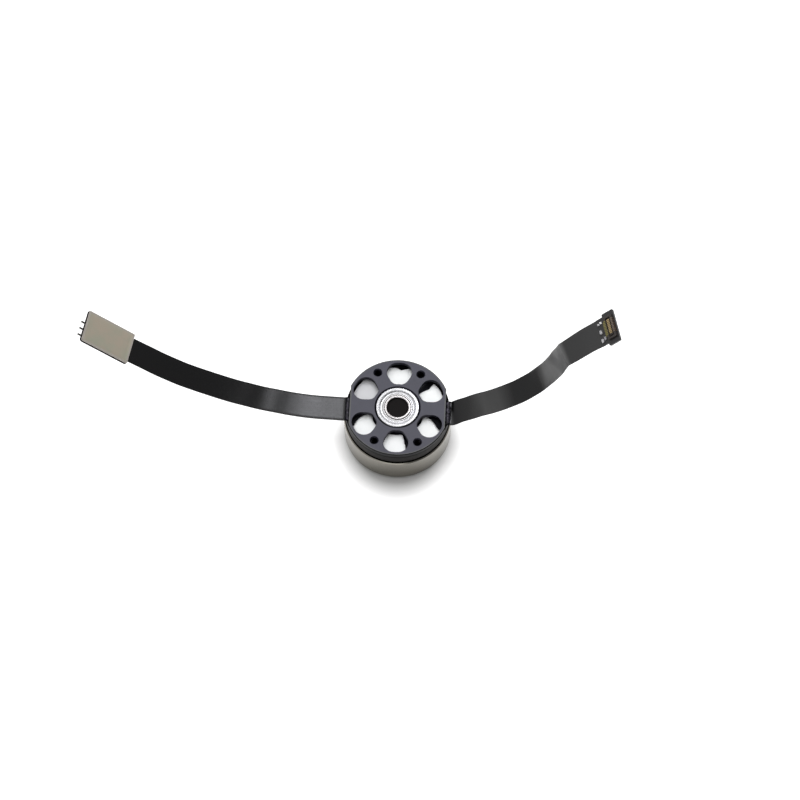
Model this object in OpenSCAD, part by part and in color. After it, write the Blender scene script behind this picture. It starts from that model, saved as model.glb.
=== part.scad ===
// A small outrunner motor for a camera gimbal, with a ribbon circuit on each side.
// The bell stands on its floor at z = 0 and turns about +Z. The fixed plate faces up.
// The plate carries a tube with both bearings, the core, the windings and the ribbons.
// +Y is the side away from the viewer of the front, and the ribbons leave along X.

/* [Bearings] */
// Outer diameter of a ball bearing
bearing_d = 10; // [9.6:0.1:10.4]
// Bore of a ball bearing, which is also the shaft diameter
bearing_bore = 5; // [4.6:0.1:5.4]
// Width of a ball bearing
bearing_w = 4; // [3.6:0.1:4.4]
// Number of balls in a bearing
ball_count = 8; // [6:1:9]
// Diameter of a ball
ball_d = 1.2; // [1.1:0.05:1.3]

/* [From the bearings outwards] */
// Wall of the tube around the bearings
tube_wall = 0.8; // [0.7:0.05:0.95]
// Width of the core's yoke around the tube
yoke_w = 1.2; // [1:0.05:1.4]
// Length of a tooth, from the yoke to its tip
tooth_l = 2.5; // [2.2:0.1:3]
// Thickness of the tip of a tooth
tip_t = 0.7; // [0.6:0.05:0.9]
// Air gap between the core and the magnets
air_gap = 0.3; // [0.2:0.05:0.4]
// Thickness of a magnet
magnet_t = 1.1; // [0.9:0.05:1.3]
// Wall of the bell beside the magnets
bell_wall = 0.9; // [0.7:0.05:1.1]

/* [From the bell floor upwards] */
// Thickness of the bell floor
floor_t = 1.2; // [0.9:0.05:1.5]
// Room between the bell floor and the coils
coil_floor_gap = 0.6; // [0.4:0.05:0.8]
// Build of a coil above and below its tooth
coil_build = 1; // [0.8:0.05:1.2]
// Height of the steel core
stack_h = 3.8; // [3.2:0.1:4.6]
// How far the rim of the bell stands above the core
rim_over_core = 0.5; // [0.4:0.05:0.7]
// Open height between the rim of the bell and the guard ring
ring_gap = 0.55; // [0.4:0.05:0.8]
// Height from the coils to the top of the white pads
pad_h = 1.9; // [1.6:0.1:2.3]
// Thickness of the fixed plate
plate_t = 1.2; // [1:0.05:1.5]

/* [Fixed plate and guard ring] */
// How far the rim of the plate stands back from the bell
plate_step = 0.3; // [0.2:0.05:0.4]
// Depth of the two flats of the plate
flat_depth = 1.1; // [0.9:0.05:1.2]
// Width of the rim outside the windows
window_rim = 0.75; // [0.65:0.05:0.95]
// Width of the six ribs between the windows
rib_w = 3.3; // [3:0.1:3.6]
// How far the middle of a tapped hole lies from the rim of the plate
screw_edge = 2.2; // [1.9:0.1:2.6]
// Diameter of the drilling for the tapped holes
tap_d = 1.6; // [1.4:0.05:1.8]
// Wall of the guard ring
ring_wall = 0.75; // [0.6:0.05:0.85]

/* [Bell and windings] */
// Diameter of the circle of the tapped holes in the bell floor
rotor_bolt_circle_d = 16; // [13:0.5:18]
// Number of teeth and coils
tooth_count = 9; // [9:3:9]
// Number of magnets
magnet_count = 12; // [10:2:14]
// Width of a tooth of the core
tooth_w = 1.8; // [1.5:0.1:2.1]

/* [Ribbons] */
// Width of a ribbon circuit
flex_w = 6; // [5.8:0.1:6.1]
// Thickness of a ribbon circuit
flex_t = 0.2; // [0.15:0.01:0.22]
// Length of the left stiffener plate
left_head_l = 13; // [12.4:0.2:14.4]
// Width of the left stiffener plate
left_head_w = 7.9; // [7.3:0.1:8.3]
// Depth of the right head, past the parts beside the ribbon
right_head_l = 3.2; // [3:0.1:3.7]
// Width of the right head
right_head_w = 8; // [7.6:0.1:8.4]

/* [Hidden] */
$fn = 96;

// Overrun of every cut past the face that it opens
cut = 0.1;

// Axial build, from the bell floor upwards
insulator_t = 0.4;
coil_z = floor_t + coil_floor_gap;
stack_z = coil_z + coil_build + insulator_t;
coil_top = stack_z + stack_h + insulator_t + coil_build;
bell_h = stack_z + stack_h + rim_over_core;
board_t = 0.2;
board_top = coil_top + board_t;
pad_top = coil_top + pad_h;
pad_clear = 0.25;
flex_z = pad_top + pad_clear;
flex_top = flex_z + flex_t;
flex_gap = 0.05;
plate_z = flex_top + flex_gap;
motor_h = plate_z + plate_t;

// Radial build, from the bearings outwards
shaft_r = bearing_bore / 2;
bearing_r = bearing_d / 2;
tube_r = bearing_r + tube_wall;
yoke_r = tube_r + yoke_w;
tip_r = yoke_r + tooth_l;
stator_r = tip_r + tip_t;
magnet_in = stator_r + air_gap;
bell_in = magnet_in + magnet_t;
bell_r = bell_in + bell_wall;

// Bell, hub and shaft
bell_foot_edge = 0.4;
bell_rim_edge = 0.2;
hub_gap = 0.4;
shim_t = 0.2;
shaft_recess = 0.4;
shaft_edge = 0.25;

// Bearings, both of one kind. The walls of the rings are shares of the bearing's section.
inner_wall_share = 0.28;
outer_wall_share = 0.4;
inner_race = shaft_r + inner_wall_share * (bearing_r - shaft_r);
outer_race = bearing_r - outer_wall_share * (bearing_r - shaft_r);
ball_pitch = (inner_race + outer_race) / 2;
ball_play = 0.02;
inner_lip = 0.2;
outer_lip = 0.17;
inner_step = inner_race - inner_lip;
outer_step = outer_race + outer_lip;
shield_gap = 0.06;
shield_t = 0.2;
shield_recess = 0.15;
step_depth = shield_recess + shield_t;
race_edge = 0.12;
cage_play = 0.15;
cage_h = 1.5;

// Bearing tube and the axial places of the bearings
tube_edge = 0.2;
seat_edge = 0.35;
preload_t = 0.2;
washer_gap = 0.05;
shoulder_w = 0.65;
shoulder_r = bearing_r - shoulder_w;
lower_bearing_z = floor_t + hub_gap;
upper_bearing_z = motor_h - bearing_w;

// Plate
plate_r = bell_r - plate_step;
flat_x = plate_r - flat_depth;
plate_edge = 0.15;
window_count = 6;
rib_angle = 180 / window_count;
window_out = plate_r - window_rim;
window_outer_round = 2.4;
window_inner_round = 1.6;
hub_land = 0.1;
screw_r = plate_r - screw_edge;
hole_flare = 0.25;

// Guard ring, with a slot for each ribbon and a dark groove under the plate
ring_step = 0.1;
ring_r = plate_r - ring_step;
ring_in = ring_r - ring_wall;
ring_z = bell_h + ring_gap;
groove_h = 0.2;
groove_depth = 0.25;
slot_side = 0.15;

// Core and coils
tip_opening = 1.1;
coil_gap = 0.08;
coil_side = 0.15;
coil_round = 0.6;
coil_in = yoke_r + coil_gap;
coil_out = tip_r - coil_gap;
coil_half = coil_in * tan(180 / tooth_count) - coil_gap;

// Magnets
magnet_gap = 0.5;
magnet_lift = 0.7;
magnet_rim = 0.3;

// Board on the coils, and the white pads on it: where each starts and ends, as shares of a
// full turn, and how far out it reaches, as a share of the radius of the board
pad_gap = 0.3;
board_gap = 0.1;
pad_round = 0.7;
pad_in = tube_r + pad_gap;
board_out = ring_in - board_gap;
pad_start_shares = [0.012, 0.178, 0.344, 0.515, 0.678, 0.844];
pad_end_shares = [0.125, 0.322, 0.488, 0.656, 0.797, 0.986];
pad_out_shares = [1, 0.968, 1, 1, 1, 1];

// Leads from the board up to the left ribbon
lead_d = 0.3;
lead_pitch = 0.9;
lead_turn_share = 0.5015;

// Ribbon lands under the plate, and the seals over them at the flats.
// The places of the slanted wing are shares of the inner radius of the guard ring.
tail_y = -0.4;
land_hub_gap = 1.1;
land_in = tube_r + land_hub_gap;
land_neck_gap = 0.7;
land_neck = ring_in - land_neck_gap;
land_inset = 0.1;
land_lead = 0.1;
land_out = ring_r + land_lead;
left_wing_shares = [[0.62, -0.165], [0.83, -0.43]];
right_wing_shares = [[0.67, -0.21], [0.87, -0.41]];
seal_inset = 0.2;
right_seal_over = 0.35;

// Routes of the two ribbons, from the guard ring to their heads
left_route = [
    [-12.2, -0.4, 10.65], [-12.8, -0.4, 10.65], [-15.5, -0.4, 10.8], [-18.7, -0.4, 11],
    [-21.9, -0.3, 11.3], [-25.1, -0.1, 11.7], [-28.3, 0.2, 12.2], [-31.5, 0.5, 12.7],
    [-34.7, 0.9, 13.4], [-37.8, 1.3, 14.1], [-40.9, 1.8, 14.9], [-43.9, 2.3, 15.8],
    [-46.9, 2.8, 16.8], [-49.8, 3.3, 17.9], [-52.6, 3.9, 19.1], [-55.3, 4.5, 20.4],
    [-57.9, 5.1, 21.9], [-61.6, 5.9, 24.1]
];
right_route = [
    [12.2, -0.4, 10.65], [12.8, -0.4, 10.65], [14.5, -0.1, 11.7], [16.6, 0.2, 12.8],
    [18.9, 0.7, 13.7], [21.1, 1.1, 14.4], [23.3, 1.6, 15.2], [25.5, 2.2, 16.1],
    [27.6, 2.8, 17.1], [29.6, 3.5, 18.3], [31.4, 4.1, 19.8], [33, 4.7, 21.5],
    [34.4, 5.2, 23.4], [35.6, 5.7, 25.4], [36.6, 6.2, 27.5], [37.5, 6.6, 29.6],
    [39.3, 7.3, 30.9], [41.1, 8, 32.3], [42.9, 8.6, 33.8], [45.2, 9.2, 35.7]
];
left_heading = 10;
left_rise = 38;
right_heading = 15;
right_rise = 42;
right_flare_share = 0.12;
right_flare_from = 15;

// Left head: black pad, steel plate over it, plug and three contacts under it
head_round = 0.6;
steel_inset = 0.12;
steel_t = 0.3;
plug_l = 5;
plug_inset = 0.5;
plug_t = 1;
contact_w = 0.35;
contact_t = 0.3;
contact_reach = 0.7;
contact_drop = 0.2;
contact_pitch = 1.6;

// Right head: black pad with a stiffener under it, plug, contacts and small parts on it
right_neck_l = 1.8;
backing_t = 0.3;
socket_l = 2.3;
socket_w = 5.6;
socket_t = 0.55;
socket_inset = 0.4;
socket_well = 0.8;
socket_floor = 0.2;
pin_count = 9;
pin_pitch = 0.4;
pin_w = 0.2;
pin_reach = 0.25;
pin_t = 0.08;
chip_t = 0.3;
socket_x = right_neck_l + right_head_l - socket_inset - socket_l;
// Each small part: how far it lies before the plug and across the head, its length and width
chip_places = [[0.75, 2.2, 0.4, 0.5], [1.85, 2, 0.4, 0.5], [1.55, 0, 0.5, 0.9],
               [1.75, -2.2, 0.5, 0.8], [0.7, -1.9, 0.45, 0.8]];

// Plain helpers

// Flat washer that stands on z
module ring_solid(outer, inner, height, z = 0) {
    translate([0, 0, z])
        difference() {
            cylinder(r = outer, h = height);
            translate([0, 0, -cut])
                cylinder(r = inner, h = height + 2 * cut);
        }
}

// Rectangle with round corners, centred across Y and starting at x = 0
module round_plate(length, width, corner, height) {
    linear_extrude(height = height) {
        translate([corner, -width / 2])
            square([length - 2 * corner, width]);
        translate([0, corner - width / 2])
            square([length, width - 2 * corner]);
        for (x = [corner, length - corner], y = [corner - width / 2, width / 2 - corner])
            translate([x, y])
                circle(r = corner, $fn = 32);
    }
}

// Upright rectangle with round corners, centred on its middle
module round_frame(width, height, corner) {
    square([width - 2 * corner, height], center = true);
    square([width, height - 2 * corner], center = true);
    for (x = [-1, 1], y = [-1, 1])
        translate([x * (width / 2 - corner), y * (height / 2 - corner)])
            circle(r = corner, $fn = 32);
}

// Plate

// One window, centred on +X: a wedge between two ribs, rounded more outside than inside
module window_shape() {
    wedge_tip = rib_w / 2 / sin(rib_angle);
    wedge_rise = (2 * window_out - wedge_tip) * tan(rib_angle);
    offset(r = window_inner_round, $fn = 32)
        offset(delta = -window_inner_round)
            difference() {
                offset(r = window_outer_round, $fn = 48)
                    offset(delta = -window_outer_round)
                        intersection() {
                            circle(r = window_out);
                            polygon([
                                [wedge_tip, 0], [2 * window_out, wedge_rise],
                                [2 * window_out, -wedge_rise]
                            ]);
                        }
                circle(r = tube_r + hub_land);
            }
}

// The disc with its edge, before its flats and windows
module plate_disc() {
    rotate_extrude()
        polygon([
            [0, plate_z], [plate_r, plate_z], [plate_r, motor_h - plate_edge],
            [plate_r - plate_edge, motor_h], [0, motor_h]
        ]);
}

// Everything that the bearings, the preload washer and the shaft need inside the tube
module bearing_bores() {
    translate([0, 0, lower_bearing_z - cut])
        cylinder(r = bearing_r, h = bearing_w + cut);
    translate([0, 0, upper_bearing_z - preload_t])
        cylinder(r = bearing_r, h = bearing_w + preload_t + cut);
    translate([0, 0, lower_bearing_z])
        cylinder(r = shoulder_r, h = motor_h - lower_bearing_z);
    translate([0, 0, motor_h - seat_edge])
        cylinder(r1 = bearing_r, r2 = bearing_r + seat_edge, h = seat_edge);
    translate([0, 0, motor_h])
        cylinder(r = bearing_r + seat_edge, h = cut);
}

// Anodised plate in one piece with the tube that carries bearings and core
module top_plate() {
    color("dimgray")
        difference() {
            union() {
                intersection() {
                    plate_disc();
                    translate([-flat_x, -plate_r, plate_z - cut])
                        cube([2 * flat_x, 2 * plate_r, plate_t + 2 * cut]);
                }
                rotate_extrude()
                    polygon([
                        [0, lower_bearing_z], [tube_r - tube_edge, lower_bearing_z],
                        [tube_r, lower_bearing_z + tube_edge], [tube_r, motor_h - plate_t / 2],
                        [0, motor_h - plate_t / 2]
                    ]);
            }
            bearing_bores();
            for (i = [0:window_count - 1])
                rotate([0, 0, (i + 0.5) * 360 / window_count])
                    translate([0, 0, plate_z - cut])
                        linear_extrude(height = plate_t + 2 * cut)
                            window_shape();
            for (angle = [60, 120, 240, 300])
                rotate([0, 0, angle])
                    translate([screw_r, 0, plate_z]) {
                        translate([0, 0, -cut])
                            cylinder(d = tap_d, h = plate_t + 2 * cut);
                        translate([0, 0, plate_t - hole_flare])
                            cylinder(r1 = tap_d / 2, r2 = tap_d / 2 + hole_flare, h = hole_flare);
                        translate([0, 0, plate_t])
                            cylinder(r = tap_d / 2 + hole_flare, h = cut);
                    }
        }
}

// Guard ring under the rim of the plate, with a slot on each side for a ribbon
module base_ring() {
    slot_w = flex_w + 2 * slot_side;
    slot_h = plate_z - flex_z + flex_gap;
    color([0.18, 0.17, 0.17])
        difference() {
            rotate_extrude()
                polygon([
                    [ring_in, ring_z], [ring_r, ring_z], [ring_r, plate_z - groove_h],
                    [ring_r - groove_depth, plate_z - groove_h], [ring_r - groove_depth, plate_z],
                    [ring_in, plate_z]
                ]);
            for (side = [-1, 1])
                translate([side * ring_r - ring_r / 2, tail_y - slot_w / 2, plate_z - slot_h])
                    cube([ring_r, slot_w, slot_h + cut]);
        }
}

// Bearings

// Outer ring with a groove for the balls and a step at each face for a shield
module outer_bearing_ring(z) {
    color([0.86, 0.86, 0.87])
        translate([0, 0, z])
            rotate_extrude()
                difference() {
                    polygon([
                        [outer_step, 0], [bearing_r - race_edge, 0], [bearing_r, race_edge],
                        [bearing_r, bearing_w - race_edge], [bearing_r - race_edge, bearing_w],
                        [outer_step, bearing_w], [outer_step, bearing_w - step_depth],
                        [outer_race, bearing_w - step_depth], [outer_race, step_depth],
                        [outer_step, step_depth]
                    ]);
                    translate([ball_pitch, bearing_w / 2])
                        circle(r = ball_d / 2 + ball_play);
                }
}

// Inner ring, whose faces step down a little deeper so that the shields run clear
module inner_bearing_ring(z) {
    inner_depth = step_depth + shield_gap;
    color([0.9, 0.9, 0.91])
        translate([0, 0, z])
            rotate_extrude()
                difference() {
                    polygon([
                        [shaft_r, race_edge], [shaft_r + race_edge, 0], [inner_step, 0],
                        [inner_step, inner_depth], [inner_race, inner_depth],
                        [inner_race, bearing_w - inner_depth], [inner_step, bearing_w - inner_depth],
                        [inner_step, bearing_w], [shaft_r + race_edge, bearing_w],
                        [shaft_r, bearing_w - race_edge]
                    ]);
                    translate([ball_pitch, bearing_w / 2])
                        circle(r = ball_d / 2 + ball_play);
                }
}

// Pressed steel shield, held in the step of the outer ring
module bearing_shield(z) {
    color([0.8, 0.8, 0.82])
        ring_solid(outer_step, inner_step + shield_gap, shield_t, z);
}

// Balls at their pitch radius, on even angles
module ball_set(z, radius) {
    for (i = [0:ball_count - 1])
        rotate([0, 0, i * 360 / ball_count])
            translate([ball_pitch, 0, z + bearing_w / 2])
                sphere(r = radius, $fn = 32);
}

// Crown that spaces the balls
module bearing_cage(z) {
    color([0.75, 0.6, 0.3])
        difference() {
            ring_solid(outer_race - cage_play, inner_race + cage_play, cage_h,
                z + bearing_w / 2 - cage_h / 2);
            ball_set(z, ball_d / 2 + ball_play);
        }
}

module bearing_balls(z) {
    color([0.93, 0.93, 0.94])
        ball_set(z, ball_d / 2);
}

// Thin spring washer under the outer ring of the upper bearing
module preload_washer() {
    color("silver")
        ring_solid(bearing_r - washer_gap, shoulder_r, preload_t, upper_bearing_z - preload_t);
}

// Core and windings

// Outline of the core: a yoke with teeth, and a wider tip on each tooth
module core_shape(with_tips) {
    tip_half = 180 / tooth_count - asin(tip_opening / 2 / tip_r);
    difference() {
        union() {
            circle(r = yoke_r);
            for (i = [0:tooth_count - 1])
                rotate([0, 0, tooth_angle(i)]) {
                    translate([0, -tooth_w / 2])
                        square([tip_r + tip_t / 2, tooth_w]);
                    if (with_tips)
                        intersection() {
                            difference() {
                                circle(r = stator_r);
                                circle(r = tip_r);
                            }
                            polygon([
                                [0, 0], [2 * stator_r, -2 * stator_r * tan(tip_half)],
                                [2 * stator_r, 2 * stator_r * tan(tip_half)]
                            ]);
                        }
                }
        }
        circle(r = tube_r);
    }
}

function tooth_angle(i) = 30 + i * 360 / tooth_count;

// Laminated steel core, pressed on the tube
module stator_stack() {
    color([0.45, 0.47, 0.5])
        translate([0, 0, stack_z])
            linear_extrude(height = stack_h)
                core_shape(true);
}

// Moulded insulator on one face of the core
module insulator(z) {
    color("whitesmoke")
        translate([0, 0, z])
            linear_extrude(height = insulator_t)
                core_shape(false);
}

// One coil around its tooth, as a closed wound block that ends round inside the tips
module coil(i) {
    inner_h = stack_h + 2 * insulator_t;
    color([0.72, 0.42, 0.2])
        rotate([0, 0, tooth_angle(i)])
            intersection() {
                translate([coil_in, 0, stack_z + stack_h / 2])
                    rotate([90, 0, 90])
                        linear_extrude(height = coil_out)
                            difference() {
                                round_frame(2 * coil_half, inner_h + 2 * coil_build, coil_round);
                                square([tooth_w + 2 * coil_side, inner_h], center = true);
                            }
                cylinder(r = coil_out, h = motor_h);
            }
}

// Black board that lies on the coil heads and joins their ends
module winding_board() {
    color([0.08, 0.08, 0.09])
        ring_solid(board_out, pad_in, board_t, coil_top);
}

// Section of a white pad that reaches out to a radius
module pad_section(pad_out) {
    translate([pad_in, board_top])
        square([pad_out - pad_in, pad_top - pad_round - board_top]);
    translate([pad_in + pad_round, board_top])
        square([pad_out - pad_in - 2 * pad_round, pad_top - board_top]);
    for (x = [pad_in + pad_round, pad_out - pad_round])
        translate([x, pad_top - pad_round])
            circle(r = pad_round, $fn = 32);
}

// White cured pads on the board, one behind each window
module winding_pads() {
    color("white")
        for (i = [0:window_count - 1])
            rotate([0, 0, 360 * pad_start_shares[i]])
                rotate_extrude(angle = 360 * (pad_end_shares[i] - pad_start_shares[i]))
                    pad_section(board_out * pad_out_shares[i]);
}

// Three copper leads, up from the board to the left ribbon land
module phase_leads() {
    color([0.8, 0.5, 0.25])
        for (i = [0:2])
            rotate([0, 0, 360 * lead_turn_share])
                translate([coil_in + lead_d + i * lead_pitch, 0, board_top])
                    cylinder(d = lead_d, h = flex_z - board_top, $fn = 24);
}

// Ribbons

// Land of a ribbon under the plate. It is drawn for the right side.
module flex_land_shape(wing) {
    rib_half = rib_w / 2 - land_inset;
    linear_extrude(height = flex_t)
        polygon([
            [land_in, rib_half], [land_neck, rib_half], [land_neck, tail_y + flex_w / 2],
            [land_out, tail_y + flex_w / 2], [land_out, tail_y - flex_w / 2],
            [land_neck, tail_y - flex_w / 2], wing[1] * ring_in, wing[0] * ring_in,
            [land_in, -rib_half]
        ]);
}

module left_flex_land() {
    color([0.08, 0.08, 0.09])
        translate([0, 0, flex_z])
            mirror([1, 0, 0])
                flex_land_shape(left_wing_shares);
}

module right_flex_land() {
    color([0.08, 0.08, 0.09])
        translate([0, 0, flex_z])
            flex_land_shape(right_wing_shares);
}

// Bead of cured sealant over the ribbon, from the flat of the plate out to a radius
module exit_seal(side, reach) {
    bead_r = (reach - flat_x) / 2;
    color([0.16, 0.16, 0.18])
        translate([side * (flat_x + bead_r), tail_y, flex_top])
            intersection() {
                rotate([90, 0, 0])
                    cylinder(r = bead_r, h = flex_w - 2 * seal_inset, center = true);
                translate([-bead_r, -flex_w / 2, 0])
                    cube([2 * bead_r, flex_w, bead_r]);
            }
}

// Direction along a route at point i. The first and last follow what the ribbon meets.
function head_direction(side, heading, rise) =
    [side * cos(rise) * cos(heading), cos(rise) * sin(heading), sin(rise)];
function unit(v) = v / norm(v);
function along(route, i, first, last) =
    i == 0 ? first :
    i == len(route) - 1 ? last :
    unit(unit(route[i + 1] - route[i]) + unit(route[i] - route[i - 1]));

// Level direction across the ribbon, and the direction out of its upper face
function across(t) = unit([-t[1], t[0], 0]) * (t[0] < 0 ? -1 : 1);
function upward(t) = cross(t, across(t)) * (t[0] < 0 ? -1 : 1);

// The four corners of the ribbon at point i
function ribbon_ring(route, i, t, width) = [
    route[i] - across(t) * width / 2 - upward(t) * flex_t / 2,
    route[i] + across(t) * width / 2 - upward(t) * flex_t / 2,
    route[i] + across(t) * width / 2 + upward(t) * flex_t / 2,
    route[i] - across(t) * width / 2 + upward(t) * flex_t / 2
];

// Widening of a ribbon towards its head
function flare(i, from, count, share) =
    1 + share * max(0, (i - from) / (count - 1 - from));

// A ribbon swept along its route as one closed skin
module ribbon(route, side, heading, rise, from, share) {
    n = len(route);
    first = [side, 0, 0];
    last = head_direction(side, heading, rise);
    rings = [for (i = [0:n - 1])
        ribbon_ring(route, i, along(route, i, first, last), flex_w * flare(i, from, n, share))];
    points = [for (r = rings, p = r) p];
    walls = [for (i = [0:n - 2], k = [0:3])
        each [
            [4 * i + k, 4 * i + (k + 1) % 4, 4 * (i + 1) + (k + 1) % 4],
            [4 * i + k, 4 * (i + 1) + (k + 1) % 4, 4 * (i + 1) + k]
        ]];
    ends = [[3, 2, 1], [3, 1, 0],
            [4 * n - 4, 4 * n - 3, 4 * n - 2], [4 * n - 4, 4 * n - 2, 4 * n - 1]];
    faces = concat(walls, ends);
    polyhedron(points = points, faces = side > 0 ? [for (f = faces) [f[2], f[1], f[0]]] : faces);
}

module left_flex_tail() {
    color([0.1, 0.1, 0.11])
        ribbon(left_route, -1, left_heading, left_rise, len(left_route) - 2, 0);
}

module right_flex_tail() {
    color([0.1, 0.1, 0.11])
        ribbon(right_route, 1, right_heading, right_rise, right_flare_from, right_flare_share);
}

// Frame at the end of a ribbon: +X runs on outwards, and z = 0 is the middle of the ribbon
module at_left_head() {
    translate(left_route[len(left_route) - 1])
        rotate([0, left_rise, -left_heading])
            mirror([1, 0, 0])
                children();
}

module at_right_head() {
    translate(right_route[len(right_route) - 1])
        rotate([0, -right_rise, right_heading])
            children();
}

// Left head

module left_flex_head() {
    color([0.12, 0.12, 0.12])
        at_left_head()
            translate([0, 0, -flex_t / 2])
                round_plate(left_head_l, left_head_w, head_round, flex_t);
}

module left_stiffener() {
    color([0.64, 0.61, 0.55])
        at_left_head()
            translate([steel_inset, 0, flex_t / 2])
                round_plate(left_head_l - 2 * steel_inset, left_head_w - 2 * steel_inset,
                    head_round - steel_inset, steel_t);
}

// Plug body under the head, near its outer end
module left_connector() {
    color([0.2, 0.2, 0.2])
        at_left_head()
            translate([left_head_l - plug_inset - plug_l, plug_inset - left_head_w / 2,
                -flex_t / 2 - plug_t])
                cube([plug_l, left_head_w - 2 * plug_inset, plug_t]);
}

// Three contacts that reach out of the plug past the end of the head
module left_contacts() {
    color([0.5, 0.5, 0.48])
        at_left_head()
            for (i = [-1:1])
                translate([left_head_l - plug_inset, (i - 0.5) * contact_pitch - contact_w / 2,
                    -flex_t / 2 - contact_drop - contact_t])
                    cube([plug_inset + contact_reach, contact_w, contact_t]);
}

// Right head

// Black pad: a neck as wide as the flared ribbon, then the wider head
module right_flex_head() {
    neck_w = flex_w * (1 + right_flare_share);
    color([0.14, 0.14, 0.14])
        at_right_head()
            translate([0, 0, -flex_t / 2]) {
                translate([0, -neck_w / 2, 0])
                    cube([right_neck_l + head_round, neck_w, flex_t]);
                translate([right_neck_l, 0, 0])
                    round_plate(right_head_l, right_head_w, head_round / 2, flex_t);
            }
}

module right_stiffener() {
    color([0.1, 0.1, 0.1])
        at_right_head()
            translate([right_neck_l, 0, -flex_t / 2 - backing_t])
                round_plate(right_head_l, right_head_w, head_round / 2, backing_t);
}

// Low plug body with an open well along its middle
module right_connector() {
    color([0.2, 0.18, 0.17])
        at_right_head()
            translate([socket_x, -socket_w / 2, flex_t / 2])
                difference() {
                    cube([socket_l, socket_w, socket_t]);
                    translate([(socket_l - socket_well) / 2, (socket_l - socket_well) / 2, socket_floor])
                        cube([socket_well, socket_w - socket_l + socket_well, socket_t]);
                }
}

// Two rows of gilt contacts: each lies on a wall of the plug and turns down on its outer side
module right_contacts() {
    wall = (socket_l - socket_well) / 2;
    color([0.75, 0.62, 0.35])
        at_right_head()
            translate([socket_x + socket_l / 2, 0, flex_t / 2])
                for (row = [0, 180], i = [0:pin_count - 1])
                    rotate([0, 0, row])
                        translate([0, (i - (pin_count - 1) / 2) * pin_pitch - pin_w / 2, 0]) {
                            translate([socket_well / 2, 0, socket_t])
                                cube([wall + pin_t, pin_w, pin_t]);
                            translate([socket_l / 2, 0, 0])
                                cube([pin_t, pin_w, socket_t + pin_t]);
                            translate([socket_l / 2, 0, 0])
                                cube([pin_reach, pin_w, pin_t]);
                        }
}

// Small soldered parts beside the plug, on the neck of the head
module right_components() {
    color([0.7, 0.7, 0.7])
        at_right_head()
            for (place = chip_places)
                translate([socket_x - place[0] - place[2] / 2, place[1] - place[3] / 2, flex_t / 2])
                    cube([place[2], place[3], chip_t]);
}

// Turning pieces

// Steel cup with a hub for the shaft and four tapped holes in its floor
module bell() {
    color([0.68, 0.66, 0.62])
        difference() {
            rotate_extrude()
                polygon([
                    [shaft_r, 0], [bell_r - bell_foot_edge, 0], [bell_r, bell_foot_edge],
                    [bell_r, bell_h - bell_rim_edge], [bell_r - bell_rim_edge, bell_h],
                    [bell_in, bell_h], [bell_in, floor_t], [inner_step, floor_t],
                    [inner_step, lower_bearing_z - shim_t], [shaft_r, lower_bearing_z - shim_t]
                ]);
            for (i = [0:3])
                rotate([0, 0, 45 + 90 * i])
                    translate([rotor_bolt_circle_d / 2, 0, -cut])
                        cylinder(d = tap_d, h = floor_t + 2 * cut);
        }
}

module shaft() {
    top = motor_h - shaft_recess;
    color([0.12, 0.11, 0.11])
        rotate_extrude()
            polygon([
                [0, 0], [shaft_r, 0], [shaft_r, top - shaft_edge],
                [shaft_r - shaft_edge, top], [0, top]
            ]);
}

module shim_washer() {
    color("goldenrod")
        ring_solid(inner_step, shaft_r, shim_t, lower_bearing_z - shim_t);
}

// One curved magnet on the inner wall of the bell
module magnet(i) {
    pitch = 360 / magnet_count;
    span = pitch - 2 * asin(magnet_gap / 2 / magnet_in);
    color([0.35, 0.35, 0.37])
        rotate([0, 0, i * pitch - span / 2])
            translate([0, 0, floor_t + magnet_lift])
                rotate_extrude(angle = span)
                    translate([magnet_in, 0])
                        square([magnet_t, bell_h - magnet_rim - floor_t - magnet_lift]);
}

top_plate();
base_ring();
outer_bearing_ring(upper_bearing_z);  // upper_bearing_outer_ring
bearing_shield(upper_bearing_z + bearing_w - step_depth);  // upper_bearing_top_shield
bearing_shield(upper_bearing_z + shield_recess);  // upper_bearing_bottom_shield
outer_bearing_ring(lower_bearing_z);  // lower_bearing_outer_ring
bearing_shield(lower_bearing_z + bearing_w - step_depth);  // lower_bearing_top_shield
bearing_shield(lower_bearing_z + shield_recess);  // lower_bearing_bottom_shield
preload_washer();
stator_stack();
insulator(stack_z + stack_h);  // upper_insulator
insulator(stack_z - insulator_t);  // lower_insulator
for (i = [1:tooth_count]) {
    coil(i - 1);
}
winding_board();
winding_pads();
phase_leads();
left_flex_land();
right_flex_land();
exit_seal(-1, ring_r);  // left_exit_seal
exit_seal(1, ring_r + right_seal_over);  // right_exit_seal
left_flex_tail();
right_flex_tail();
left_flex_head();
left_stiffener();
left_connector();
left_contacts();
right_flex_head();
right_stiffener();
right_connector();
right_contacts();
right_components();
bell();
shaft();
shim_washer();
inner_bearing_ring(upper_bearing_z);  // upper_bearing_inner_ring
inner_bearing_ring(lower_bearing_z);  // lower_bearing_inner_ring
for (i = [1:magnet_count]) {
    magnet(i);
}
bearing_cage(upper_bearing_z);  // upper_bearing_cage
bearing_balls(upper_bearing_z);  // upper_bearing_balls
bearing_cage(lower_bearing_z);  // lower_bearing_cage
bearing_balls(lower_bearing_z);  // lower_bearing_balls
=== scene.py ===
import math

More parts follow.
